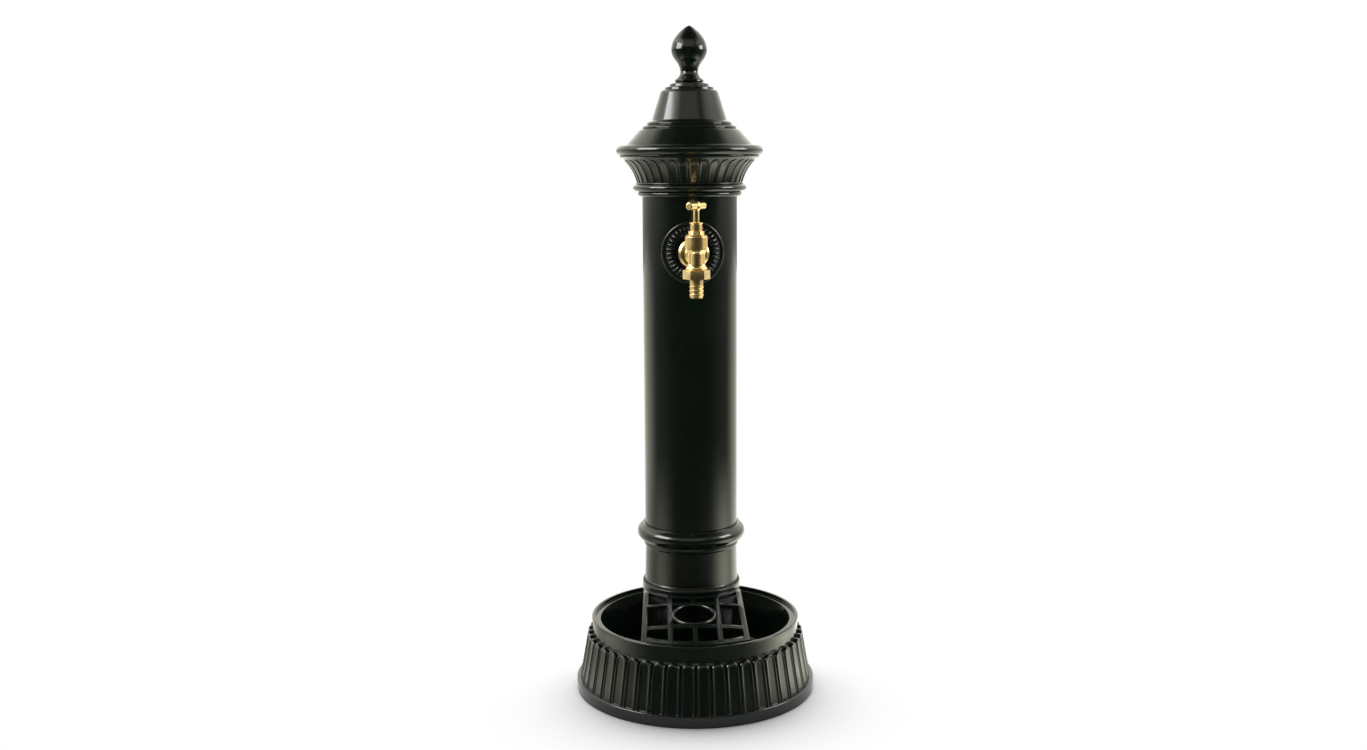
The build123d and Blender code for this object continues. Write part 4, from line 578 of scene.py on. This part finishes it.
ring_paint = ring.nodes.new("GeometryNodeSetMaterial")
ring.links.new(ring_real.outputs[0], ring_paint.inputs["Geometry"])
ring.links.new(ring_in.outputs["Finish"], ring_paint.inputs["Material"])
ring.links.new(ring_paint.outputs[0], ring_out.inputs[0])


def ringed(name, mesh, count, centre, finish):
    """The mesh repeated evenly about an upright axis through centre, as one plain mesh."""
    pattern = placed(name, mesh)
    repeat = pattern.modifiers.new("ring", "NODES")
    repeat.node_group = ring
    settings = {"Count": count, "Centre": centre, "Finish": finish}
    for socket in ring.interface.items_tree:
        if socket.in_out == "INPUT" and socket.name in settings:
            repeat[socket.identifier] = settings[socket.name]
    return settled(pattern)


LEG_STEPS = 6
ARC_STEPS = 12


def arch_loop(half_foot, half_top, foot, top, share):
    """Points (across, up) of an arch on two legs, its width and round drawn in by the share."""
    spring = top - half_top
    points = []
    for k in range(LEG_STEPS):
        rise = k / LEG_STEPS
        wide = half_foot + (half_top - half_foot) * rise
        points.append((wide * (1 - share), foot + (spring - foot) * rise))
    for k in range(ARC_STEPS + 1):
        swing = pi * k / ARC_STEPS
        wide = half_top * (1 - share)
        points.append((wide * cos(swing), spring + wide * sin(swing)))
    for k in range(LEG_STEPS - 1, -1, -1):
        across, up = points[k]
        points.append((-across, up))
    return points


def arched(steps, half_foot, half_top, foot, top, on_surface):
    """An arched panel on a surface: rows of points drawn in step by step, each at its height."""
    points = []
    faces = []
    size = 2 * LEG_STEPS + ARC_STEPS + 1
    for share, height in steps:
        for across, up in arch_loop(half_foot, half_top, foot, top, share):
            points.append(on_surface(across, up, height))
    for level in range(len(steps) - 1):
        for k in range(size - 1):
            first = level * size + k
            faces.append([first, first + 1, first + size + 1, first + size])
    last = (len(steps) - 1) * size
    for k in range(LEG_STEPS):
        faces.append([last + k, last + k + 1, last + size - k - 2, last + size - k - 1])
    faces.append([last + LEG_STEPS + k for k in range(ARC_STEPS + 1)])
    return points, faces


skirt_lean = atan2(SKIRT_FOOT_R - SKIRT_TOP_R, SKIRT_TOP_Z - SKIRT_FOOT_Z)
BED_TOP = 66.5
BED_HEIGHT = 4.3


def skirt_place(across, up, height):
    """A point on the leaning skirt, at the front of the basin, with a bed between the flutes' legs."""
    level = SKIRT_FOOT_Z + up * cos(skirt_lean)
    radius = SKIRT_FOOT_R - up * sin(skirt_lean)
    swing = across / radius - pi / 2
    if up < BED_TOP:
        height = max(height, BED_HEIGHT)
    out = radius + height * cos(skirt_lean)
    rise = level + height * sin(skirt_lean)
    return Vector((out * MM * cos(swing), out * MM * sin(swing), rise * MM))


flute_steps = [
    (0.0, -0.6),
    (0.015, 1.4),
    (0.04, 3.2),
    (0.07, 4.4),
    (0.11, 5.1),
    (0.16, 5.9),
    (0.21, 6.35),
    (0.26, 6.45),
    (0.31, 6.2),
    (0.37, 5.6),
    (0.43, 5.15),
    (0.62, 4.95),
    (0.85, 4.95),
]
FLUTES = 48
RELIEF_SHARP = radians(70)
flute_shell = arched(
    flute_steps, half_foot=12.27, half_top=11.42, foot=-1.5, top=78.9, on_surface=skirt_place
)
flute_mesh = mesh_of("flute", flute_shell, RELIEF_SHARP)
flutes_mesh = ringed("flutes", flute_mesh, FLUTES, (0, 0, 0), green_paint)
stand("skirt_flutes", flutes_mesh, green_paint, "fountain", "green_paint")

# Grate: a loose iron casting with flat bars and broken edges, in the basin's green. A bead runs
# round the hole for the stream. It lies on the rim's step and the pedestal's ledge and lifts out.
nodes = frame["nodes"]


def softened(name, node, width, steps=2):
    """A copy of a CAD node's mesh with its loose triangles merged and its edges broken."""
    work = bmesh.new()
    work.from_mesh(nodes[node].data)
    bmesh.ops.remove_doubles(work, verts=work.verts, dist=1e-6)
    bmesh.ops.dissolve_limit(work, angle_limit=radians(1.5), verts=work.verts, edges=work.edges)
    mesh = bpy.data.meshes.new(name)
    work.to_mesh(mesh)
    work.free()
    mesh.shade_smooth()
    piece = placed(name, mesh)
    edge = piece.modifiers.new("edge", "BEVEL")
    edge.width = width * MM
    edge.segments = steps
    edge.limit_method = "ANGLE"
    edge.angle_limit = radians(30)
    edge.use_clamp_overlap = True
    result = settled(piece)
    result.shade_smooth()
    result.set_sharp_from_angle(angle=SHARP)
    return result


grate_mesh = softened("grate_casting", "grate", width=1.1)
stand("grate_casting", grate_mesh, green_paint, "grate", "green_paint", "grate")
HOLE = Vector((-0.0060, -0.0619, 0))
ABOVE_GRATE = 0.2
LIP_R = 0.0336
LIP_WIDE = 0.0023
LIP_HIGH = 0.0021
LIP_LIFT = 0.0002
LIP_STEPS = 96
LIP_SIDES = 10
LIP_EASE = 4
grate_top = BVHTree.FromPolygons(
    [tuple(vertex.co) for vertex in nodes["grate"].data.vertices],
    [tuple(face.vertices) for face in nodes["grate"].data.polygons],
)
lip_ways = []
lip_spots = []
for k in range(LIP_STEPS):
    swing = 2 * pi * k / LIP_STEPS
    lip_ways.append(Vector((cos(swing), sin(swing), 0)))
    above = HOLE + LIP_R * lip_ways[k] + Vector((0, 0, ABOVE_GRATE))
    lip_spots.append(grate_top.ray_cast(above, Vector((0, 0, -1)))[0])
lip_points = []
lip_faces = []
for k in range(LIP_STEPS):
    nearby = [lip_spots[(k + step) % LIP_STEPS].z for step in range(-LIP_EASE, LIP_EASE + 1)]
    middle = Vector((lip_spots[k].x, lip_spots[k].y, sum(nearby) / len(nearby) + LIP_LIFT))
    for side in range(LIP_SIDES):
        turn = 2 * pi * side / LIP_SIDES
        sideways = lip_ways[k] * (LIP_WIDE * cos(turn))
        lip_points.append(middle + sideways + Vector((0, 0, LIP_HIGH * sin(turn))))
        beside = (side + 1) % LIP_SIDES
        here = k * LIP_SIDES
        there = (k + 1) % LIP_STEPS * LIP_SIDES
        lip_faces.append([here + side, there + side, there + beside, here + beside])
lip_mesh = mesh_of("grate_lip", (lip_points, lip_faces))
stand("grate_lip", lip_mesh, green_paint, "grate", "green_paint")

# Column: an iron socket casting with a half-round collar at the foot, bedded on a rubber ring, and
# a long tube that stands in it. The same green paint covers both.
SHAFT_R = 79.5
base_section = rounded([
    (45, 159, 0.4),
    (81.3, 159, 0.5),
    (81.3, 160.8, 0.7),
    (80.2, 162.2, 0.4),
    (78.8, 221, 0.3),
    (81.8, 224, 1.2),
    (81.8, 227, 1.2),
    (80.8, 230, 0.3),
    (83.8, 232, 0.3),
])[:-1]
base_section += bow((83.8, 232), (92.8, 245), (84.8, 257), 14)
base_section += rounded([
    (84.8, 257),
    (83.8, 258.2, 0.3),
    (83.8, 260, 0.6),
    (79.65, 260, 0.4),
    (79.65, 226, 0.4),
    (70, 226, 0.4),
    (70, 169, 0.6),
    (45, 169, 0.4),
    (45, 159),
])[1:-1]
base_mesh = mesh_of("socket", turned(base_section, 160, PEDESTAL))
stand("column_socket", base_mesh, green_paint, "fountain", "green_paint", "column_base")
tube_section = rounded([(74.5, 226, 0.4), (SHAFT_R, 226, 0.4), (SHAFT_R, 841, 0.4), (74.5, 841, 0.4)])
tube_mesh = mesh_of("tube", turned(tube_section, 200, PEDESTAL))
stand("column_tube", tube_mesh, green_paint, "fountain", "green_paint", "column_shaft")

# Capital: an iron casting that caps the tube, with two rings, a flared bell and a row of arched
# leaves, each a raised frame round a sunk panel. It is painted green with the column.
BELL_FOOT_R = 86.5
BELL_FOOT_Z = 841.5
BELL_TOP_R = 112.5
BELL_TOP_Z = 884.0
bell_arc = bow((BELL_FOOT_R, BELL_FOOT_Z), (95.3, 864.0), (BELL_TOP_R, BELL_TOP_Z), 24)


def bell_radius(level):
    """Radius of the bell at a height in millimetres."""
    for (radius, low), (next_radius, high) in zip(bell_arc, bell_arc[1:]):
        if low <= level <= high:
            return radius + (next_radius - radius) * (level - low) / (high - low)
    return BELL_FOOT_R if level < BELL_FOOT_Z else BELL_TOP_R


capital_section = rounded([(79.65, 820, 0.4), (83, 820, 0.5), (84, 820.5)])[:-1]
capital_section += bow((84, 820.5), (87, 824.7), (84, 828.9), 8)
capital_section += bow((90, 828.8), (95, 834.4), (90, 840), 10)
capital_section += bow((89.4, 840.4), (90.2, 841.8), (89.2, 843.2), 6)
capital_section += [(87.2, 843.9)] + [spot for spot in bell_arc if spot[1] > 844.4]
capital_section += rounded([
    (BELL_TOP_R, BELL_TOP_Z),
    (116.5, 885.0, 0.5),
    (116.5, 888, 0.6),
    (100.5, 888, 0.4),
    (100.5, 878, 1.0),
    (89.3, 864, 1.0),
    (74.5, 847, 0.5),
    (74.5, 841, 0.3),
    (79.65, 841, 0.3),
    (79.65, 820),
])[1:-1]
capital_mesh = mesh_of("capital_bell", turned(capital_section, 200, PEDESTAL))
stand("capital_bell", capital_mesh, green_paint, "fountain", "green_paint", "capital")
LEAF_FOOT_Z = 845.0


def bell_place(across, up, height):
    """A point on the bell; the width is given for the bell's foot and spreads with it."""
    level = LEAF_FOOT_Z + up
    swing = across / BELL_FOOT_R - pi / 2
    out = bell_radius(level) + height
    return Vector((out * MM * cos(swing), COLUMN_Y + out * MM * sin(swing), level * MM))


leaf_steps = [
    (0.0, -0.8),
    (0.02, 0.4),
    (0.06, 1.1),
    (0.12, 1.65),
    (0.19, 1.85),
    (0.26, 1.6),
    (0.33, 1.05),
    (0.42, 0.8),
    (0.60, 0.75),
    (0.85, 0.75),
]
LEAVES = 36
leaf_shell = arched(
    leaf_steps, half_foot=7.45, half_top=7.45, foot=-1.0, top=35.0, on_surface=bell_place
)
leaf_mesh = mesh_of("leaf", leaf_shell, RELIEF_SHARP)
leaves_mesh = ringed("leaves", leaf_mesh, LEAVES, (0, COLUMN_Y, 0), green_paint)
stand("capital_leaves", leaves_mesh, green_paint, "fountain", "green_paint")

# Roof: a thin iron casting with a half-round cornice, a cone, two rings, a spire and three steps.
# It drops into the capital's seat, is clamped by the tie rod, and is painted green.
roof_section = rounded([(97.5, 885, 0.3), (100, 885, 0.3), (100, 888, 0.3), (114.4, 888)])[:-1]
roof_section += bow((114.4, 888), (122.4, 896), (114.4, 904), 16)
roof_section += rounded([
    (114.4, 904),
    (106.5, 904.4, 0.8),
    (105, 905.4, 0.8),
    (85, 928, 0.6),
    (82.5, 930, 1.2),
    (77.6, 931, 0.4),
    (78.6, 933.5, 1.6),
    (76.6, 936, 0.8),
    (70, 937.5, 0.4),
    (71, 940, 1.6),
    (69, 942.5, 0.8),
    (62.6, 945, 0.8),
    (48.3, 990.5, 2.4),
    (46.8, 993.4, 2.4),
    (43.3, 994.7, 1.2),
    (40.8, 994.7, 0.3),
    (40.4, 999, 1.2),
    (33.3, 1000, 0.4),
    (32.1, 1004.5, 1.2),
    (25, 1007, 0.6),
    (6.5, 1007, 0.3),
    (6.5, 994.7, 0.3),
    (33.3, 991.5, 1.0),
    (41.8, 986.5, 1.0),
    (56.1, 941, 1.0),
    (82.5, 920.5, 1.0),
    (92, 900.7, 1.0),
    (91, 894, 1.0),
    (91, 885, 0.3),
    (97.5, 885),
])[1:-1]
roof_mesh = mesh_of("roof", turned(roof_section, 200, PEDESTAL))
stand("roof_casting", roof_mesh, green_paint, "fountain", "green_paint", "roof_cap")

# Finial: a pointed bulb on a short neck, cast, turned and painted green. It is the nut that is
# screwed down on the tie rod and holds roof, capital and column together.


def eased_line(points, steps=6):
    """A smooth line through the given points, each span divided into steps."""
    line = []
    for k in range(len(points) - 1):
        before = Vector(points[max(k - 1, 0)])
        here = Vector(points[k])
        ahead = Vector(points[k + 1])
        beyond = Vector(points[min(k + 2, len(points) - 1)])
        for step in range(steps):
            share = step / steps
            spot = 0.5 * (
                2 * here
                + (ahead - before) * share
                + (2 * before - 5 * here + 4 * ahead - beyond) * share**2
                + (3 * here - before - 3 * ahead + beyond) * share**3
            )
            line.append((spot.x, spot.y))
    line.append(tuple(points[-1]))
    return line


finial_section = rounded([
    (0, 1007),
    (23.0, 1007, 0.6),
    (23.8, 1008.5, 0.8),
    (23.8, 1010.5, 0.8),
    (22.3, 1012.5),
])[:-1]
finial_section += bow((22.3, 1012.5), (16.6, 1018), (14.4, 1025), 6)
finial_section += eased_line([
    (14.4, 1025),
    (15.6, 1031),
    (19.4, 1038.5),
    (25.6, 1047),
    (29.5, 1058),
    (28.6, 1068),
    (25.1, 1077),
    (18.0, 1086.5),
    (10.5, 1093.3),
    (4.0, 1097.9),
    (0, 1099.4),
])[1:]
finial_mesh = mesh_of("finial", turned(finial_section, 128, PEDESTAL, False))
stand("finial_bulb", finial_mesh, green_paint, "fountain", "green_paint", "finial")

# Medallion: a cast rosette bent to the column, with a rounded rim, a groove, a ring of radial
# petals and a plain boss behind the tap's flange. The tap clamps it to the column's front.
INLET_Z = 0.730


def bent(mesh):
    """Lays a flat piece (its height along Z) onto the front of the column at the tap's inlet."""
    for vertex in mesh.vertices:
        across, up, height = vertex.co
        out = SHAFT_R * MM + height
        vertex.co = (across, COLUMN_Y - sqrt(out**2 - across**2), INLET_Z + up)
    faced_outward(mesh)
    return mesh


# The plain rings across the face let it bend evenly
rosette_section = rounded([
    (14, 0.0),
    (52, 0.0, 0.3),
    (52, 4.2, 1.6),
    (48.2, 4.2, 1.4),
    (47.4, 2.2, 0.5),
    (45.9, 2.0, 0.4),
    (45.4, 2.0),
    (40, 2.0),
    (35, 2.0),
    (31, 2.0),
    (27, 2.0),
    (20, 2.0),
    (14, 2.0),
])
rosette_mesh = bent(mesh_of("rosette", turned(rosette_section, 180)))
rosette_mesh.shade_smooth()
rosette_mesh.set_sharp_from_angle(angle=SHARP)
stand("medallion_rosette", rosette_mesh, green_paint, "fountain", "green_paint", "medallion")
PETALS = 36
PETAL_FOOT_R = 31.0
PETAL_MIDDLE_R = 38.0
PETAL_BED = 2.0
PETAL_DOME = 2.4
PETAL_CROWN = 4.8
PETAL_FALL = 0.028


def petal_place(across, up, height):
    """A point on a domed petal that points outward from the rosette's centre."""
    radius = PETAL_FOOT_R + up
    swing = across / PETAL_MIDDLE_R - pi / 2
    dome = PETAL_DOME - PETAL_FALL * (up - PETAL_CROWN) ** 2
    out = PETAL_BED + dome + height
    return Vector((radius * MM * cos(swing), radius * MM * sin(swing), out * MM))


petal_steps = [
    (0.0, -0.6),
    (0.03, 0.8),
    (0.12, 1.8),
    (0.25, 2.4),
    (0.38, 2.2),
    (0.50, 1.2),
    (0.65, 0.9),
    (0.85, 0.9),
]
petal_shell = arched(
    petal_steps, half_foot=2.9, half_top=2.9, foot=0.0, top=14.2, on_surface=petal_place
)
petal_mesh = mesh_of("petal", petal_shell, RELIEF_SHARP)
petals_mesh = bent(ringed("petals", petal_mesh, PETALS, (0, 0, 0), green_paint))
stand("medallion_petals", petals_mesh, green_paint, "fountain", "green_paint")
TO_FRONT = Matrix.Translation((0, COLUMN_Y, INLET_Z)) @ Matrix.Rotation(radians(90), 4, "X")
seat_section = rounded([(13.8, 70, 0.3), (23, 70, 0.3), (23, 92, 1.4), (13.8, 92, 0.3)])
seat_mesh = mesh_of("rosette_boss", turned(seat_section, 96, TO_FRONT))
stand("medallion_boss", seat_mesh, green_paint, "fountain", "green_paint")

# Tap: a cast brass body, polished, with its barrel to the wall, front bulge and outlet in one, and
# a turned brass wall flange behind it. Its shank goes through the column and is nutted inside.
brass_polished = coated(
    "brass_polished",
    shades=((0.86, 0.63, 0.28), (0.80, 0.55, 0.22)),
    rough=(0.22, 0.30),
    metallic=1.0,
    grain=(500, 0.10),
    ripple=0.9,
)
brass_cast = coated(
    "brass_cast",
    shades=((0.70, 0.53, 0.25), (0.60, 0.43, 0.19)),
    rough=(0.30, 0.40),
    metallic=1.0,
    grain=(1500, 0.55),
    ripple=0.7,
)
flange_section = rounded([
    (13.5, 92, 0.2),
    (25, 92, 0.3),
    (25, 93.6, 0.8),
    (21.5, 96.2, 2.0),
    (17, 98, 2.0),
    (13.5, 98, 0.3),
])
flange_mesh = mesh_of("wall_flange", turned(flange_section, 96, TO_FRONT))
stand("tap_wall_flange", flange_mesh, brass_polished, "fountain", "brass_polished", "tap_flange")
TAP = Matrix.Translation((0, TAP_Y, 0))
body_section = rounded([
    (11, 701, 0.3),
    (16.6, 701, 0.8),
    (16.6, 708, 0.3),
    (17.4, 708.2, 0.6),
    (17.4, 710.0, 1.2),
    (14.6, 713.5, 3.0),
    (13.8, 717, 3.0),
    (13.8, 733, 3.0),
    (17.1, 738, 2.0),
    (17.9, 740, 2.0),
    (17.9, 760.7, 1.1),
    (13.25, 760.7, 0.3),
    (13.25, 751, 0.3),
    (11, 751, 0.3),
    (11, 739, 0.3),
    (5, 739, 0.3),
    (5, 725, 0.3),
    (11, 717, 0.5),
])
nose_section = [(0, 706.5)] + bow((0, 706.5), (6.9, 709.4), (9.4, 716.5), 6)[1:]
nose_section += [(9.4, 733)] + bow((9.4, 733), (7.4, 739.5), (3.4, 743.5), 5)[1:] + [(0, 744)]
barrel_section = [
    (0, 98),
    (15, 98),
    (15.2, 99),
    (15.2, 102.4),
    (12.4, 105.5),
    (12.0, 108),
    (12.0, 142),
    (0, 142),
]
NOSE_Y = -0.0705
casting = placed("tap_casting", mesh_of("tap_casting", joined(
    turned(body_section, 96, TAP),
    turned(nose_section, 48, Matrix.Translation((0, NOSE_Y, 0)), False),
    turned(barrel_section, 64, TO_FRONT, False),
)))
melt = casting.modifiers.new("melt", "REMESH")
melt.mode = "VOXEL"
melt.voxel_size = 0.55 * MM
melt.use_smooth_shade = True
even = casting.modifiers.new("even", "SMOOTH")
even.iterations = 5
even.factor = 0.5
cast_mesh = settled(casting)
shank_mesh = mesh_of("tap_shank", turned([(7.5, 48), (13.2, 48), (13.2, 99), (7.5, 99)], 64, TO_FRONT))
stand("tap_casting", cast_mesh, brass_polished, "fountain", "brass_polished", "tap_body")
stand("tap_shank", shank_mesh, brass_cast, "fountain", "brass_cast")

# Bonnet, gland nut, spindle and T-bar: polished brass, turned from bar. The bonnet has a hexagon
# and is screwed into the body, the gland nut sits on it, and the bar is pressed through the head.
bonnet_mesh = softened("bonnet", "tap_bonnet", width=0.5, steps=3)
stand("tap_bonnet_turned", bonnet_mesh, brass_polished, "fountain", "brass_polished", "tap_bonnet")
gland_section = rounded([
    (8.25, 768.6, 0.2),
    (9.35, 768.6, 0.5),
    (9.35, 778.9, 0.4),
    (8.9, 779.6, 0.2),
    (10.5, 779.9, 0.4),
    (10.5, 782, 0.7),
    (4.86, 782, 0.3),
    (4.86, 776, 0.2),
    (8.25, 776, 0.2),
])
gland_mesh = mesh_of("gland", turned(gland_section, 72, TAP))
stand("gland_nut_turned", gland_mesh, brass_polished, "fountain", "brass_polished", "gland_nut")
spindle_section = rounded([
    (0, 744.5),
    (6.5, 744.5, 0.5),
    (6.5, 762, 0.5),
    (4.8, 762.5, 0.4),
    (4.8, 800.5, 1.0),
    (5.6, 801.8, 0.5),
])[:-1]
spindle_section += bow((5.6, 801.2), (7.8, 808), (5.0, 814.2), 12)
spindle_section += bow((5.0, 814.2), (2.6, 815.5), (0, 815.9), 4)[1:]
spindle_mesh = mesh_of("spindle", turned(spindle_section, 64, TAP, False))
stand("tap_spindle_turned", spindle_mesh, brass_polished, "spindle", "brass_polished", "tap_spindle")
BAR_Z = 0.808
BAR_TURN = radians(57)
laid_flat = Matrix.Rotation(BAR_TURN, 4, "Z") @ Matrix.Rotation(radians(90), 4, "Y")
ACROSS = Matrix.Translation((0, TAP_Y, BAR_Z)) @ laid_flat
bar_section = rounded([
    (0, -23.5),
    (6.0, -23.5, 1.3),
    (6.0, -8, 0.4),
    (5.9, 0),
    (6.0, 8, 0.4),
    (6.0, 23.5, 1.3),
    (0, 23.5),
])
bar_mesh = mesh_of("t_bar", turned(bar_section, 64, ACROSS, False))
stand("tap_t_bar", bar_mesh, brass_polished, "spindle", "brass_polished", "handle_bar")

# Union: a brass hexagon nut, cast and left with its grain, that holds a barbed hose tail to the
# tap's outlet. Both are duller than the polished body.
union_mesh = softened("union_hexagon", "union_nut", width=0.7, steps=3)
stand("union_hexagon", union_mesh, brass_cast, "union_nut", "brass_cast", "union_nut")
BARBS = 3
BARB_TOP = 682.6
BARB_PITCH = 6.4
BARB_R = 11.4
TAIL_R = 10.0
tail_corners = [
    (8, 698.5, 0.2),
    (15.8, 698.5, 0.3),
    (15.8, 695.7, 0.3),
    (10.6, 695.7, 0.3),
    (10.6, 683.6, 0.4),
]
for barb in range(BARBS):
    high = BARB_TOP - barb * BARB_PITCH
    tail_corners += [
        (TAIL_R, high, 0.4),
        (BARB_R, high - 1.2, 0.5),
        (BARB_R, high - 2.6, 0.5),
        (TAIL_R, high - 5.6, 0.5),
    ]
tail_corners += [(TAIL_R, 662.4, 0.5), (8.0, 662.4, 0.3)]
tail_mesh = mesh_of("tail", turned(rounded(tail_corners, support=0.2), 80, TAP))
stand("hose_tail_barbed", tail_mesh, brass_cast, "hose_tail", "brass_cast", "hose_tail")

# Fittings out of sight keep their own shapes and get finishes alone: zinc-plated steel, copper
# tube, stainless strainer, rubber and fibre rings.
zinc_steel = coated(
    "zinc_steel",
    shades=((0.60, 0.61, 0.60), (0.50, 0.51, 0.49)),
    rough=(0.34, 0.46),
    metallic=1.0,
    grain=(900, 0.2),
    ripple=0.2,
)
copper = coated(
    "copper",
    shades=((0.76, 0.42, 0.29), (0.58, 0.30, 0.20)),
    rough=(0.28, 0.40),
    metallic=1.0,
    grain=(500, 0.1),
    ripple=0.2,
)
stainless = coated(
    "stainless",
    shades=((0.66, 0.66, 0.64), (0.58, 0.58, 0.56)),
    rough=(0.26, 0.34),
    metallic=1.0,
    grain=(1200, 0.15),
    ripple=0.1,
)
rubber = coated(
    "rubber",
    shades=((0.020, 0.020, 0.020), (0.032, 0.032, 0.031)),
    rough=(0.62, 0.74),
    metallic=0.0,
    grain=(1600, 0.35),
    ripple=0.1,
)
fibre = coated(
    "fibre",
    shades=((0.36, 0.11, 0.07), (0.28, 0.09, 0.06)),
    rough=(0.66, 0.78),
    metallic=0.0,
    grain=(1800, 0.4),
    ripple=0.1,
)
finishes = {
    "green_paint": green_paint,
    "brass_polished": brass_polished,
    "brass_cast": brass_cast,
    "zinc_steel": zinc_steel,
    "copper": copper,
    "stainless": stainless,
    "rubber": rubber,
    "fibre": fibre,
}
for subpart in frame["record"]["subparts"]:
    node = nodes[subpart["node"]]
    node.data.materials.clear()
    node.data.materials.append(finishes[subpart["material_slot"]])

bpy.context.view_layer.update()
